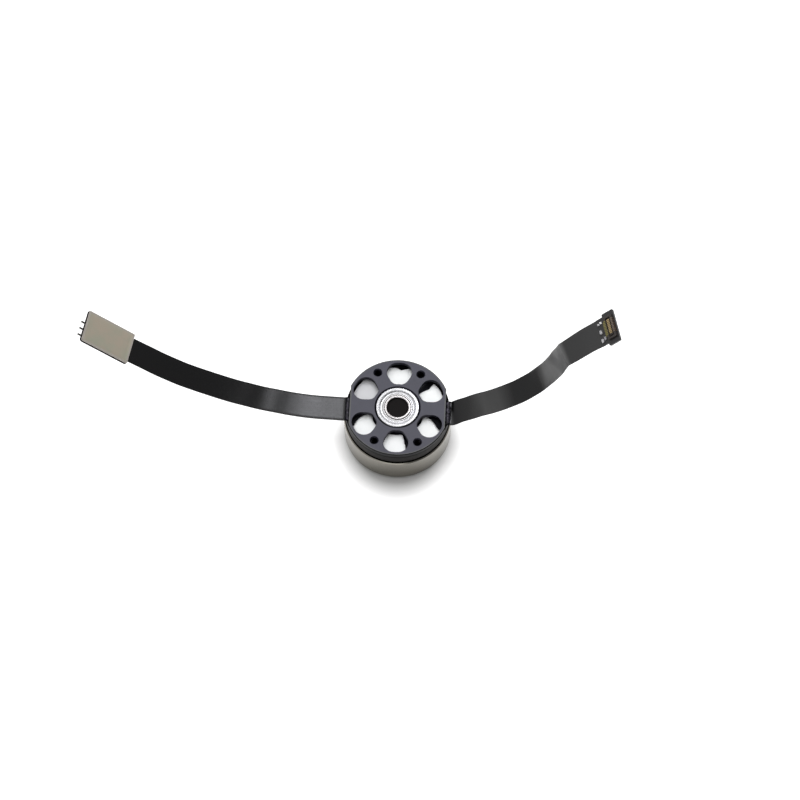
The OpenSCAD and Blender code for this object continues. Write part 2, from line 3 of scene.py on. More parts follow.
import bpy
import numpy as np
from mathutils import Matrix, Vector


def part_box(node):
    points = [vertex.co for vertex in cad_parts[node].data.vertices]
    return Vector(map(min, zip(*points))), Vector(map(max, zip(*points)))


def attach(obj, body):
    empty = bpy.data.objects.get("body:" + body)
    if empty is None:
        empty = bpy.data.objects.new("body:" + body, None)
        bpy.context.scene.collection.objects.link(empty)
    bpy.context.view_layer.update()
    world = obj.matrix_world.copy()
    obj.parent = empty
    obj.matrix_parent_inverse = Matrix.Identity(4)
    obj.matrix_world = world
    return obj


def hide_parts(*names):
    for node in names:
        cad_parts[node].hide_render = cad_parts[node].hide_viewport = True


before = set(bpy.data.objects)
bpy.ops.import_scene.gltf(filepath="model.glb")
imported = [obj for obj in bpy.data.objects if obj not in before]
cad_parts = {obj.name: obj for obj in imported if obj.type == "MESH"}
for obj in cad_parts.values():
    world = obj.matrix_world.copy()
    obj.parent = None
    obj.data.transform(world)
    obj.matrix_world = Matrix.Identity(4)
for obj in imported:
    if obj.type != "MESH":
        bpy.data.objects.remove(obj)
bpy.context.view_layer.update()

# Camera
# The photograph looks down on the motor from in front, 65 degrees above the table, from
# far enough away for the plate to show almost no perspective.
VIEW_TURN = math.radians(2.7)
VIEW_HEIGHT = math.radians(64.6)
VIEW_DISTANCE = 0.740
PLATE_MIDDLE = Vector((0, 0, 0.012))
AIM_RIGHT = 0.00056
AIM_UP = 0.001643
FRAME_WIDTH = 0.1851
SENSOR_MM = 36

toward_viewer = Vector((math.sin(VIEW_TURN) * math.cos(VIEW_HEIGHT),
                        -math.cos(VIEW_TURN) * math.cos(VIEW_HEIGHT),
                        math.sin(VIEW_HEIGHT)))
picture_right = Vector((math.cos(VIEW_TURN), math.sin(VIEW_TURN), 0))
picture_up = toward_viewer.cross(picture_right)
aim = PLATE_MIDDLE + AIM_RIGHT * picture_right + AIM_UP * picture_up

camera_data = bpy.data.cameras.new("camera")
camera_data.sensor_width = SENSOR_MM
camera_data.lens = SENSOR_MM * VIEW_DISTANCE / FRAME_WIDTH
camera_data.clip_start = 0.01
camera_data.clip_end = 10
camera = bpy.data.objects.new("camera", camera_data)
camera.location = aim + VIEW_DISTANCE * toward_viewer
camera.rotation_mode = "QUATERNION"
camera.rotation_quaternion = toward_viewer.to_track_quat("Z", "Y")
bpy.context.scene.collection.objects.link(camera)
bpy.context.scene.camera = camera
bpy.context.scene.view_settings.view_transform = "Standard"


# Ribbon circuits
# Each is copper between two black polyimide films, 6 mm wide and 0.2 mm thick. Rolled
# copper keeps the bends that it was given, so both ribbons stand up from the motor. The
# film is satin, and its lacquer shows the copper tracks under it as faint long ridges.
FLEX_WIDTH = 0.0060
FLEX_THICK = 0.0002
LEFT_ROUTE = [
    (-0.0122, -0.0004, 0.01065), (-0.0128, -0.0004, 0.01065), (-0.0155, -0.0004, 0.0108),
    (-0.0187, -0.0004, 0.011), (-0.0219, -0.0003, 0.0113), (-0.0251, -0.0001, 0.0117),
    (-0.0283, 0.0002, 0.0122), (-0.0315, 0.0005, 0.0127), (-0.0347, 0.0009, 0.0134),
    (-0.0378, 0.0013, 0.0141), (-0.0409, 0.0018, 0.0149), (-0.0439, 0.0023, 0.0158),
    (-0.0469, 0.0028, 0.0168), (-0.0498, 0.0033, 0.0179), (-0.0526, 0.0039, 0.0191),
    (-0.0553, 0.0045, 0.0204), (-0.0579, 0.0051, 0.0219), (-0.0616, 0.0059, 0.0241),
]
RIGHT_ROUTE = [
    (0.0122, -0.0004, 0.01065), (0.0128, -0.0004, 0.01065), (0.0145, -0.0001, 0.0117),
    (0.0166, 0.0002, 0.0128), (0.0189, 0.0007, 0.0137), (0.0211, 0.0011, 0.0144),
    (0.0233, 0.0016, 0.0152), (0.0255, 0.0022, 0.0161), (0.0276, 0.0028, 0.0171),
    (0.0296, 0.0035, 0.0183), (0.0314, 0.0041, 0.0198), (0.0330, 0.0047, 0.0215),
    (0.0344, 0.0052, 0.0234), (0.0356, 0.0057, 0.0254), (0.0366, 0.0062, 0.0275),
    (0.0375, 0.0066, 0.0296), (0.0393, 0.0073, 0.0309), (0.0411, 0.0080, 0.0323),
    (0.0429, 0.0086, 0.0338), (0.0452, 0.0092, 0.0357),
]
# The right ribbon is creased at this point of its route, and flares by this share past it.
# Each pair below is a place, in points from the crease, and how much the film is painted paler
# there, partly as a painted highlight and partly as whitening at the crease.
RIGHT_CREASE = 15
RIGHT_FLARE = 0.12
RIGHT_SHEEN_AND_HAZE = [(-13.5, 0.0), (-12.0, 0.05), (-10.5, 0.16), (-9.0, 0.17), (-7.5, 0.0),
              (-4.5, 0.0), (-3.0, 0.55), (-1.5, 0.92), (-0.3, 1.0), (0.0, 0.6), (0.4, 0.15),
              (4.0, 0.18)]
LEFT_HEADING, LEFT_RISE = math.radians(10), math.radians(38)
RIGHT_HEADING, RIGHT_RISE = math.radians(15), math.radians(42)
STEPS_PER_POINT = 8
SHARP_ANGLE = math.radians(40)


def linear(hex_colour):
    """Linear RGBA of an sRGB hex colour: below 0.04045 a channel is divided by 12.92, and
    above it the channel plus 0.055, over 1.055, is raised to 2.4."""
    channels = [int(hex_colour[i:i + 2], 16) / 255 for i in (1, 3, 5)]
    return [c / 12.92 if c <= 0.04045 else ((c + 0.055) / 1.055) ** 2.4 for c in channels] + [1.0]


def node(holder, kind, sockets=None, **settings):
    """Adds a shader node to a material or world. A socket takes a number, a hex colour,
    a node, whose first open output it reads, or an output."""
    made = holder.node_tree.nodes.new("ShaderNode" + kind)
    for name, value in settings.items():
        setattr(made, name, value)
    for socket, value in (sockets or {}).items():
        if isinstance(value, bpy.types.Node):
            value = next(output for output in value.outputs if output.enabled)
        if isinstance(value, bpy.types.NodeSocket):
            holder.node_tree.links.new(value, made.inputs[socket])
        else:
            made.inputs[socket].default_value = linear(value) if isinstance(value, str) else value
    return made


def new_material(name):
    """A node material with nothing in it."""
    material = bpy.data.materials.new(name)
    material.use_nodes = True
    material.node_tree.nodes.clear()
    return material


def end_material(material, sockets):
    """Ends a material with a shader that has these sockets, and gives it back."""
    shader = node(material, "BsdfPrincipled", sockets)
    node(material, "OutputMaterial", {"Surface": shader})
    return material


def ridges(material, place, pitch, low, high):
    """A height from 0 to 1 with one ridge a pitch: the sine of the place, cut off below low
    and above high. Sockets 1 to 4 of a Map Range are its range from and its range to."""
    phase = node(material, "Math", {0: place, 1: 2 * math.pi / pitch}, operation="MULTIPLY")
    wave = node(material, "Math", {0: phase}, operation="SINE")
    return node(material, "MapRange", {0: wave, 1: low, 2: high, 3: 0.0, 4: 1.0})


def smooth_route(points, steps):
    """A Catmull-Rom curve through the points: between two of them it is the cubic whose
    tangent at each is half the chord of its neighbours. The end tangents run on straight."""
    p = np.vstack([2 * points[0] - points[1], points, 2 * points[-1] - points[-2]])
    t = np.linspace(0, 1, steps, endpoint=False)[None, :, None]
    a, b, c, d = (p[k:len(p) - 3 + k, None, :] for k in range(4))
    curve = 0.5 * (2 * b + (c - a) * t + (2 * a - 5 * b + 4 * c - d) * t ** 2
                   + (3 * b - a - 3 * c + d) * t ** 3)
    return np.vstack([curve.reshape(-1, points.shape[1]), points[-1:]])


def unit(v):
    """Vectors over their own lengths."""
    return v / np.linalg.norm(v, axis=-1, keepdims=True)


def strip_frame(centres, first, last):
    """Tangent, level direction across and direction out of the upper face, ring by ring.
    The first and last tangents are those of what the ribbon meets."""
    middle = unit(unit(centres[2:] - centres[1:-1]) + unit(centres[1:-1] - centres[:-2]))
    tangent = np.vstack([first, middle, last])
    across = unit(np.stack([-tangent[:, 1], tangent[:, 0], 0 * tangent[:, 0]], 1))
    across *= np.sign(across[:, 1:2])
    upward = np.cross(tangent, across)
    upward *= np.sign(upward[:, 2:3])
    return across, upward


def stadium(width, thick, flat_steps=12, end_steps=5):
    """Section of a flat strip with round edges: two straight faces joined by half circles.
    The points run once round it, and each row is (across, up)."""
    reach = width / 2 - thick / 2
    x = np.linspace(-reach, reach, flat_steps)
    turn = np.linspace(math.pi / 2, -math.pi / 2, end_steps + 2)[1:-1]
    right = np.stack([reach + thick / 2 * np.cos(turn), thick / 2 * np.sin(turn)], 1)
    top = np.stack([x, 0 * x + thick / 2], 1)
    return np.vstack([top, right, -top, -right])


def grid_faces(rows, columns, wrap_rows=False, wrap_columns=False):
    """Quads between the neighbours of a grid whose points are numbered row by row."""
    r, c = np.meshgrid(np.arange(rows if wrap_rows else rows - 1),
                       np.arange(columns if wrap_columns else columns - 1), indexing="ij")
    r2, c2 = (r + 1) % rows, (c + 1) % columns
    return np.stack([r * columns + c, r2 * columns + c, r2 * columns + c2, r * columns + c2],
                    -1).reshape(-1, 4).tolist()


def tube_faces(rings, sides):
    """Quads between rings of points, and a flat face over the first and the last ring."""
    last = (rings - 1) * sides
    return (grid_faces(rings, sides, wrap_columns=True)
            + [list(range(sides)), list(range(last, last + sides))])


def make_piece(name, points, faces, material, slot, replaced, smooth=True):
    """A mesh of the points in metres that rides on the stator and stands for a CAD node.
    Its normals are turned outwards, because its surface is closed."""
    mesh = bpy.data.meshes.new(name)
    mesh.from_pydata(np.asarray(points).tolist(), [], faces)
    mesh.validate()
    mesh.materials.append(material)
    piece = bpy.data.objects.new(name, mesh)
    bpy.context.scene.collection.objects.link(piece)
    bpy.context.view_layer.objects.active = piece
    piece.select_set(True)
    bpy.ops.object.mode_set(mode="EDIT")
    bpy.ops.mesh.select_all(action="SELECT")
    bpy.ops.mesh.normals_make_consistent(inside=False)
    bpy.ops.object.mode_set(mode="OBJECT")
    piece.select_set(False)
    if smooth:
        mesh.shade_smooth()
        mesh.set_sharp_from_angle(angle=SHARP_ANGLE)
    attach(piece, "stator")
    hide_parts(replaced)
    return piece


def mark(piece, name, values):
    """Gives each point of a piece a number, or a vector from rows of three, for its material."""
    kind, field = ("FLOAT", "value") if values.ndim == 1 else ("FLOAT_VECTOR", "vector")
    attribute = piece.data.attributes.new(name, kind, "POINT")
    attribute.data.foreach_set(field, values.astype(np.float32).ravel())


def make_ribbon(name, centres, first, last, widths, sheen_and_haze, replaced):
    """A stadium section swept along ring centres. The attribute strip holds how far along and how
    far across the ribbon each point lies, in millimetres, and how much its ring is painted paler,
    as painted highlight and crease whitening."""
    across, upward = strip_frame(centres, first, last)
    section = stadium(FLEX_WIDTH, FLEX_THICK)
    scaled = section[None, :, :] * np.stack([widths, np.ones_like(widths)], 1)[:, None, :]
    points = (centres[:, None, :] + across[:, None, :] * scaled[:, :, :1]
              + upward[:, None, :] * scaled[:, :, 1:])
    ribbon = make_piece(name, points.reshape(-1, 3), tube_faces(*points.shape[:2]), flex_film,
                        "flex_black", replaced)
    run = np.concatenate([[0], np.cumsum(np.linalg.norm(np.diff(centres, axis=0), axis=1))])
    strip = np.zeros_like(points)
    strip[:, :, 0] = 1000 * run[:, None]
    strip[:, :, 1] = 1000 * scaled[:, :, 0]
    strip[:, :, 2] = sheen_and_haze[:, None]
    mark(ribbon, "strip", strip)
    return ribbon


def head_vectors(side, heading, rise):
    """Directions out along a ribbon's head, level across it, and up out of its face."""
    out = np.array([side * math.cos(rise) * math.cos(heading),
                    math.cos(rise) * math.sin(heading), math.sin(rise)])
    across = np.array([-side * math.sin(heading), math.cos(heading), 0.0])
    upward = np.cross(out, across)
    return out, across, upward * np.sign(upward[2])


# Black polyimide film is satin: its own colour is nearly black, and it takes most of its tone
# from what it reflects. Tracks 0.3 mm wide lift the film by a hundredth of a millimetre. Along
# the right ribbon its colour is painted paler: partly a painted highlight, and partly whitening
# where a fold stretched the film at the crease.
TRACK_PITCH_MM = 0.6
# Nearly all of a noise lies between these two levels.
NOISE_SPAN = {1: 0.3, 2: 0.7}
flex_film = new_material("black_polyimide_film")
strip = node(flex_film, "Attribute", attribute_name="strip").outputs["Vector"]
parts = node(flex_film, "SeparateXYZ", {0: strip}).outputs
tracks = ridges(flex_film, parts["Y"], TRACK_PITCH_MM, -0.3, 0.3)
grain = node(flex_film, "TexNoise",
             {"Vector": strip, "Scale": 1.6, "Detail": 4.0, "Roughness": 0.6})
tone = node(flex_film, "Mix", {"Factor": grain, "A": "#060607", "B": "#0A0A0B"}, data_type="RGBA")
# Painted highlight and crease whitening: the third value of strip mixes the film's colour towards
# grey.
sheen_and_haze = node(flex_film, "Mix", {"Factor": parts["Z"], "A": tone, "B": "#747474"}, data_type="RGBA")
lift = node(flex_film, "Bump", {"Height": tracks, "Strength": 0.12, "Distance": 0.00001})
bump = node(flex_film, "Bump",
            {"Height": grain, "Normal": lift, "Strength": 0.10, "Distance": 0.00002})
rough = node(flex_film, "MapRange", {0: grain, **NOISE_SPAN, 3: 0.17, 4: 0.22})
end_material(flex_film, {"Base Color": sheen_and_haze, "Roughness": rough, "Normal": bump,
                         "Specular IOR Level": 0.45})

left_points = np.array(LEFT_ROUTE)
left_head = head_vectors(-1, LEFT_HEADING, LEFT_RISE)
left_centres = smooth_route(left_points, STEPS_PER_POINT)
left_ribbon = make_ribbon("left_ribbon", left_centres, np.array([-1.0, 0, 0]), left_head[0],
                          np.ones(len(left_centres)), np.zeros(len(left_centres)),
                          "left_flex_tail")

right_points = np.array(RIGHT_ROUTE)
right_head = head_vectors(1, RIGHT_HEADING, RIGHT_RISE)
right_centres = np.vstack([smooth_route(right_points[:RIGHT_CREASE + 1], STEPS_PER_POINT)[:-1],
                           smooth_route(right_points[RIGHT_CREASE:], STEPS_PER_POINT)])
past_crease = np.arange(len(right_centres)) - RIGHT_CREASE * STEPS_PER_POINT
right_widths = 1 + RIGHT_FLARE * np.clip(past_crease / past_crease[-1], 0, 1)
right_sheen_and_haze = np.interp(past_crease / STEPS_PER_POINT, *zip(*RIGHT_SHEEN_AND_HAZE))
right_ribbon = make_ribbon("right_ribbon", right_centres, np.array([1.0, 0, 0]), right_head[0],
                           right_widths, right_sheen_and_haze, "right_flex_tail")


# Table and light
# A plain white table under a large soft light overhead and behind, which casts the short soft
# shadow in front of the bell, and a painted shadow on the table deepens it. A smaller lamp beside
# it gives the satin film its sheen.
# Shiny surfaces see a white horizon, a bright ceiling over the motor and a dim one to the right.
TABLE_HALF = 3.0
TABLE_TONE = (0.66, 0.66, 0.66, 1)
# To the eye and to shiny surfaces the table also glows: by nothing under the motor, by 0.70 from
# 17 mm out, and by up to 0.5 more towards the horizon. The darker ring between is a painted
# shadow round the motor, moved towards the viewer and narrowed from side to side.
PAINTED_SHADOW_SPAN = {1: 0.0116, 2: 0.0170, 3: 0.0, 4: 0.70}
HORIZON_SPAN = {1: 0.10, 2: 0.50, 3: 0.0, 4: 0.5}
PAINTED_SHADOW_SHIFT = (0, 0.0022, 0)
PAINTED_SHADOW_SQUEEZE = (1.12, 1, 1)
# Pairs of a direction's X, from left to right, and the ceiling's level there
CEILING_STOPS = [(-1.0, 0.6), (-0.66, 0.6), (-0.5, 0.9), (-0.3, 1.25), (0.17, 1.25),
                 (0.31, 0.25), (1.0, 0.30)]
WORLD_LIGHT = 0.30

table_mesh = bpy.data.meshes.new("table")
table_mesh.from_pydata([(x * TABLE_HALF, y * TABLE_HALF, 0)
                        for x, y in ((-1, -1), (1, -1), (1, 1), (-1, 1))], [], [(0, 1, 2, 3)])
table = bpy.data.objects.new("table", table_mesh)
bpy.context.scene.collection.objects.link(table)

table_paint = new_material("white_table")
ray = node(table_paint, "LightPath").outputs
seen = node(table_paint, "Math", {0: ray["Is Camera Ray"], 1: ray["Is Glossy Ray"]},
            operation="ADD")
seen = node(table_paint, "Math", {0: seen, 1: ray["Is Transmission Ray"]}, operation="ADD",
            use_clamp=True)
place = node(table_paint, "TexCoord").outputs["Object"]
shifted = node(table_paint, "Mapping",
               {"Vector": place, "Location": PAINTED_SHADOW_SHIFT, "Scale": PAINTED_SHADOW_SQUEEZE})
reach = node(table_paint, "VectorMath", {0: shifted}, operation="LENGTH")
# Painted shadow: near the motor the table glows less and less, so the table is painted darker
# there, and so is the bell's reflection of it.
near = node(table_paint, "MapRange", {0: reach, **PAINTED_SHADOW_SPAN})
far = node(table_paint, "MapRange", {0: reach, **HORIZON_SPAN})
level = node(table_paint, "Math", {0: near, 1: far}, operation="ADD")
lift = node(table_paint, "Math", {0: seen, 1: level}, operation="MULTIPLY")
paint = node(table_paint, "BsdfDiffuse", {"Color": TABLE_TONE})
glow = node(table_paint, "Emission", {"Strength": lift, "Color": "#FFFFFF"})
both = node(table_paint, "AddShader", {0: paint, 1: glow})
node(table_paint, "OutputMaterial", {"Surface": both})
table_mesh.materials.append(table_paint)

world = bpy.data.worlds.new("studio")
world.use_nodes = True
world.node_tree.nodes.clear()
ray = node(world, "LightPath").outputs
seen = node(world, "Math", {0: ray["Is Camera Ray"], 1: ray["Is Transmission Ray"]},
            operation="ADD", use_clamp=True)
direction = node(world, "TexCoord").outputs["Generated"]
parts = node(world, "SeparateXYZ", {0: direction}).outputs
share = node(world, "MapRange", {0: parts["X"], 1: -1.0, 2: 1.0})
ceiling = node(world, "FloatCurve", {"Value": share})
ceiling.mapping.clip_max_y = 2.0
stops = ceiling.mapping.curves[0].points
stops[0].location = ((CEILING_STOPS[0][0] + 1) / 2, CEILING_STOPS[0][1])
stops[1].location = ((CEILING_STOPS[-1][0] + 1) / 2, CEILING_STOPS[-1][1])
for x, level in CEILING_STOPS[1:-1]:
    stops.new((x + 1) / 2, level)
for stop in stops:
    stop.handle_type = "VECTOR"
ceiling.mapping.update()
horizon = node(world, "MapRange", {0: parts["Z"], 1: 0.10, 2: 0.25, 3: 1.0, 4: 0.0})
mirrored = node(world, "Math", {0: ceiling, 1: horizon}, operation="MAXIMUM")
glossy = node(world, "Mix", {"Factor": ray["Is Glossy Ray"], "A": WORLD_LIGHT, "B": mirrored},
              data_type="FLOAT")
level = node(world, "Mix", {"Factor": seen, "A": glossy, "B": 1.0}, data_type="FLOAT")
backdrop = node(world, "Background", {"Strength": level, "Color": "#FFFFFF"})
node(world, "OutputWorld", {"Surface": backdrop})
bpy.context.scene.world = world


def add_softbox(name, place, width, depth, level, mirrored, colour):
    """A rectangular area lamp that points at the motor. Its power is worked out from the light
    level that a small lamp would give a level surface there, where 1 shows white as white."""
    reach = Vector(place).length
    slant = place[2] / reach
    lamp_data = bpy.data.lights.new(name, "AREA")
    lamp_data.shape = "RECTANGLE"
    lamp_data.size = width
    lamp_data.size_y = depth
    lamp_data.energy = level * math.pi ** 2 * reach ** 2 / slant
    lamp_data.color = colour
    lamp = bpy.data.objects.new(name, lamp_data)
    lamp.location = place
    lamp.rotation_mode = "QUATERNION"
    lamp.rotation_quaternion = Vector(place).to_track_quat("Z", "Y")
    lamp.visible_glossy = mirrored
    bpy.context.scene.collection.objects.link(lamp)


add_softbox("overhead_softbox", (-0.05, 0.50, 1.08), 1.30, 1.30, 1.08, False, (1, 1, 1))
add_softbox("sheen_softbox", (0.054, 0.31, 0.64), 0.085, 0.12, 0.042, True,
            (0.93, 0.94, 1.0))


# Plate
# Turned and milled from aluminium, then anodised dark grey. The oxide is matt, with a fine even
# grain. Its top is painted paler near the rim and the flats, as a painted highlight, and painted
# shade makes the walls of its windows and holes darker and its outer wall nearly black.
def own_mm(material, scale=(1000, 1000, 1000)):
    """The piece's own coordinates, scaled from metres to millimetres or as it says."""
    place = node(material, "TexCoord").outputs["Object"]
    return node(material, "Mapping", {"Vector": place, "Scale": scale})


def dress(material, *names):
    """Gives CAD nodes a material in every one of their slots."""
    for name in names:
        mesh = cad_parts[name].data
        mesh.materials.clear()
        mesh.materials.append(material)


plate_finish = new_material("dark_grey_anodised_aluminium")
mm = own_mm(plate_finish)
grain = node(plate_finish, "TexNoise",
             {"Vector": mm, "Scale": 5.0, "Detail": 6.0, "Roughness": 0.65})
cloud = node(plate_finish, "TexNoise", {"Vector": mm, "Scale": 0.25, "Detail": 2.0})
tone = node(plate_finish, "Mix", {"Factor": cloud, "A": "#525259", "B": "#5A5A63"},
            data_type="RGBA")
parts = node(plate_finish, "SeparateXYZ", {0: mm}).outputs
aside = node(plate_finish, "Math", {0: parts["X"]}, operation="ABSOLUTE")
level_mm = node(plate_finish, "Mapping", {"Vector": mm, "Scale": (1, 1, 0)})
radius = node(plate_finish, "VectorMath", {0: level_mm}, operation="LENGTH")
# Painted highlight: the top is paler near the flats and the rim.
flat_edge_highlight = node(plate_finish, "MapRange", {0: aside, 1: 10.75, 2: 10.95, 3: 0.0, 4: 0.8})
round_edge_highlight = node(plate_finish, "MapRange", {0: radius, 1: 11.80, 2: 12.00, 3: 0.0, 4: 0.8})
painted_edge_highlight = node(plate_finish, "Math", {0: flat_edge_highlight, 1: round_edge_highlight}, operation="MAXIMUM")
skin = node(plate_finish, "Mix", {"Factor": painted_edge_highlight, "A": tone, "B": "#6A6B69"}, data_type="RGBA")
normal = node(plate_finish, "NewGeometry").outputs["Normal"]
steep = node(plate_finish, "SeparateXYZ", {0: normal}).outputs["Z"]
# Painted shade: faces that are not level take a dark wall colour, nearly black on the outer wall.
face = node(plate_finish, "MapRange", {0: steep, 1: 0.80, 2: 0.98, 3: 0.0, 4: 1.0})
outside = node(plate_finish, "Math", {0: painted_edge_highlight, 1: 0.7}, operation="GREATER_THAN")
wall = node(plate_finish, "Mix", {"Factor": outside, "A": "#262630", "B": "#08080A"},
            data_type="RGBA")
painted_light_tint = node(plate_finish, "Mix", {"Factor": face, "A": wall, "B": skin}, data_type="RGBA")
rough = node(plate_finish, "MapRange", {0: grain, **NOISE_SPAN, 3: 0.46, 4: 0.56})
bump = node(plate_finish, "Bump", {"Height": grain, "Strength": 0.15, "Distance": 0.00003})
end_material(plate_finish, {"Base Color": painted_light_tint, "Roughness": rough, "Normal": bump,
                            "Metallic": 0.8})
dress(plate_finish, "top_plate")

# Guard ring
# A black anodised aluminium ring, pressed under the rim of the plate. It is blacker and smoother
# than the plate, and painted shade makes it blackest and least shiny in the corner under the rim.
ring_finish = new_material("black_anodised_aluminium")
mm = own_mm(ring_finish)
grain = node(ring_finish, "TexNoise", {"Vector": mm, "Scale": 6.0, "Detail": 5.0})
tone = node(ring_finish, "Mix", {"Factor": grain, "A": "#141312", "B": "#1B1918"},
            data_type="RGBA")
height = node(ring_finish, "SeparateXYZ", {0: mm}).outputs["Z"]
# Painted shade: near its top, under the plate's rim, the ring is painted black and its reflection
# dimmed.
corner = node(ring_finish, "MapRange", {0: height, 1: 9.9, 2: 10.5, 3: 0.0, 4: 0.9})
painted_light_tint = node(ring_finish, "Mix", {"Factor": corner, "A": tone, "B": "#020202"}, data_type="RGBA")
sheen = node(ring_finish, "MapRange", {0: corner, 1: 0.0, 2: 0.9, 3: 0.08, 4: 0.01})
bump = node(ring_finish, "Bump", {"Height": grain, "Strength": 0.15, "Distance": 0.00003})
end_material(ring_finish, {"Base Color": painted_light_tint, "Specular IOR Level": sheen, "Normal": bump,
                           "Metallic": 0.1, "Roughness": 0.45})
dress(ring_finish, "base_ring")

# Bell
# A cup turned from steel and nickel plated with a satin champagne tone. The lathe leaves
# fine rings round its wall, about 0.1 mm apart.
bell_finish = new_material("satin_nickel_plated_steel")
rings = node(bell_finish, "TexNoise",
             {"Vector": own_mm(bell_finish, (30, 30, 9000)), "Scale": 1.0, "Detail": 3.0})
cloud = node(bell_finish, "TexNoise",
             {"Vector": own_mm(bell_finish), "Scale": 0.3, "Detail": 3.0})
tone = node(bell_finish, "Mix", {"Factor": cloud, "A": "#8E8B82", "B": "#98938A"},
            data_type="RGBA")
rough = node(bell_finish, "MapRange", {0: rings, **NOISE_SPAN, 3: 0.14, 4: 0.22})
bump = node(bell_finish, "Bump", {"Height": rings, "Strength": 0.12, "Distance": 0.00002})
end_material(bell_finish, {"Base Color": tone, "Roughness": rough, "Normal": bump,
                           "Metallic": 1.0})
dress(bell_finish, "bell")

# Bearings
# Rings and balls of ground and polished bearing steel, with pressed steel shields, which are
# rolled and a little duller. Grinding leaves faint circles round the axis. The colours are
# painted shade and painted reflection, which follow the faces from the bore out: chamfer, face,
# groove of the shield, face, chamfer.
RING_MM = (2.4, 5.1)
# Painted shade and reflection: darker on the chamfers and in the groove, paler on the faces.
RING_SHADE_AND_REFLECTION_STOPS = [(2.40, "#6E6E70"), (2.54, "#8A8A8C"), (2.62, "#BEBABA"), (2.72, "#A8A2A0"),
              (2.82, "#C6C4C4"), (2.94, "#B8B6B6"), (3.04, "#625C58"), (3.20, "#5A5654"),
              (4.14, "#AEAEB0"), (4.22, "#959597"), (4.32, "#8E8E90"), (4.42, "#B8B8BA"),
              (4.80, "#C6C6C8"), (4.93, "#ACACAE"), (5.00, "#5E5E60")]


def colour_stops(material, value, span, stops):
    """Colours that follow a value, such as the distance from the motor axis, between the two
    ends of its span. Each stop is a value and the colour there."""
    share = node(material, "MapRange", {0: value, 1: span[0], 2: span[1]})
    ramp_node = node(material, "ValToRGB", {0: share})
    ramp = ramp_node.color_ramp
    places = [(at - span[0]) / (span[1] - span[0]) for at, _ in stops]
    ramp.elements[0].position, ramp.elements[0].color = places[0], linear(stops[0][1])
    ramp.elements[1].position, ramp.elements[1].color = places[-1], linear(stops[-1][1])
    for place, (_, colour) in zip(places[1:-1], stops[1:-1]):
        ramp.elements.new(place).color = linear(colour)
    return ramp_node


def grained(name, scale, detail, sockets, tones=None, rough=None):
    """A finish with a grain of noise on the piece's own coordinates in millimetres. The grain
    blends two tones, or spreads the roughness between two values, where these are given."""
    material = new_material(name)
    grain = node(material, "TexNoise",
                 {"Vector": own_mm(material), "Scale": scale, "Detail": detail})
    if tones:
        sockets["Base Color"] = node(material, "Mix",
                                     {"Factor": grain, "A": tones[0], "B": tones[1]},
                                     data_type="RGBA")
    if rough:
        sockets["Roughness"] = node(material, "MapRange",
                                    {0: grain, **NOISE_SPAN, 3: rough[0], 4: rough[1]})
    return end_material(material, sockets)


bearing_finish = new_material("ground_bearing_steel")
radius = node(bearing_finish, "VectorMath", {0: own_mm(bearing_finish, (1000, 1000, 0))},
              operation="LENGTH")
circles = node(bearing_finish, "TexNoise", {"W": radius, "Scale": 14.0, "Detail": 3.0},
               noise_dimensions="1D")
tone = colour_stops(bearing_finish, radius, RING_MM, RING_SHADE_AND_REFLECTION_STOPS)
rough = node(bearing_finish, "MapRange", {0: circles, **NOISE_SPAN, 3: 0.09, 4: 0.13})
bump = node(bearing_finish, "Bump", {"Height": circles, "Strength": 0.1, "Distance": 0.00002})
end_material(bearing_finish, {"Base Color": tone, "Roughness": rough, "Normal": bump,
                              "Metallic": 1.0})
dress(bearing_finish, "upper_bearing_outer_ring", "lower_bearing_outer_ring",
      "upper_bearing_inner_ring", "lower_bearing_inner_ring", "upper_bearing_balls",
      "lower_bearing_balls")
dress(grained("pressed_steel_sheet", 4.0, 4.0, {"Base Color": "#BDBDBF", "Metallic": 1.0},
              rough=(0.24, 0.34)),
      "upper_bearing_bottom_shield", "lower_bearing_top_shield",
      "lower_bearing_bottom_shield", "preload_washer")

# The shield that shows is pressed from 0.15 mm sheet: its outer edge is rolled into the
# ring, a step stiffens it, and its inner edge turns down beside the inner ring.
SHIELD_INNER = 0.00306
SHIELD_MM = (3.0, 4.2)
# Painted shade and reflection on the shield: dark at its inner edge beside the inner ring, pale
# on the rest.
SHIELD_SHADE_AND_REFLECTION_STOPS = [(3.00, "#5A5450"), (3.10, "#635D59"), (3.24, "#ABA9A9"), (3.38, "#BCBCBE"),
                (3.50, "#B9B9BB"), (3.62, "#B7B7B9"), (3.86, "#B9B9BB"), (3.97, "#B6B6B8"),
                (4.05, "#C0C0C2"), (4.13, "#BEBEC0"), (4.20, "#B0B0B2")]
# Millimetres out from the inner edge and up from the top of the ring
SHIELD_PROFILE = [(0.0, -0.10), (0.02, -0.03), (0.07, 0.0), (0.34, 0.0), (0.40, -0.02),
                  (0.45, -0.06), (0.80, -0.06), (0.88, -0.05), (0.94, -0.01), (1.00, 0.0),
                  (1.05, -0.02), (1.10, -0.10), (1.10, -0.20), (0.0, -0.20)]
SHIELD_STEPS, SHIELD_SIDES = 3, 144


def smooth_profile(points, steps):
    """A closed outline whose straight runs are cut into equal steps."""
    p = np.array(points)
    after = np.roll(p, -1, axis=0)
    share = np.linspace(0, 1, steps, endpoint=False)[None, :, None]
    return (p[:, None, :] + (after - p)[:, None, :] * share).reshape(-1, 2)


def turned_skin(profile, sides):
    """A closed outline of (radius, height) carried once round the motor axis."""
    turn = np.linspace(0, 2 * math.pi, sides, endpoint=False)[:, None]
    radius, height = profile[None, :, 0], profile[None, :, 1]
    return np.stack([radius * np.cos(turn), radius * np.sin(turn), height + 0 * turn], -1)


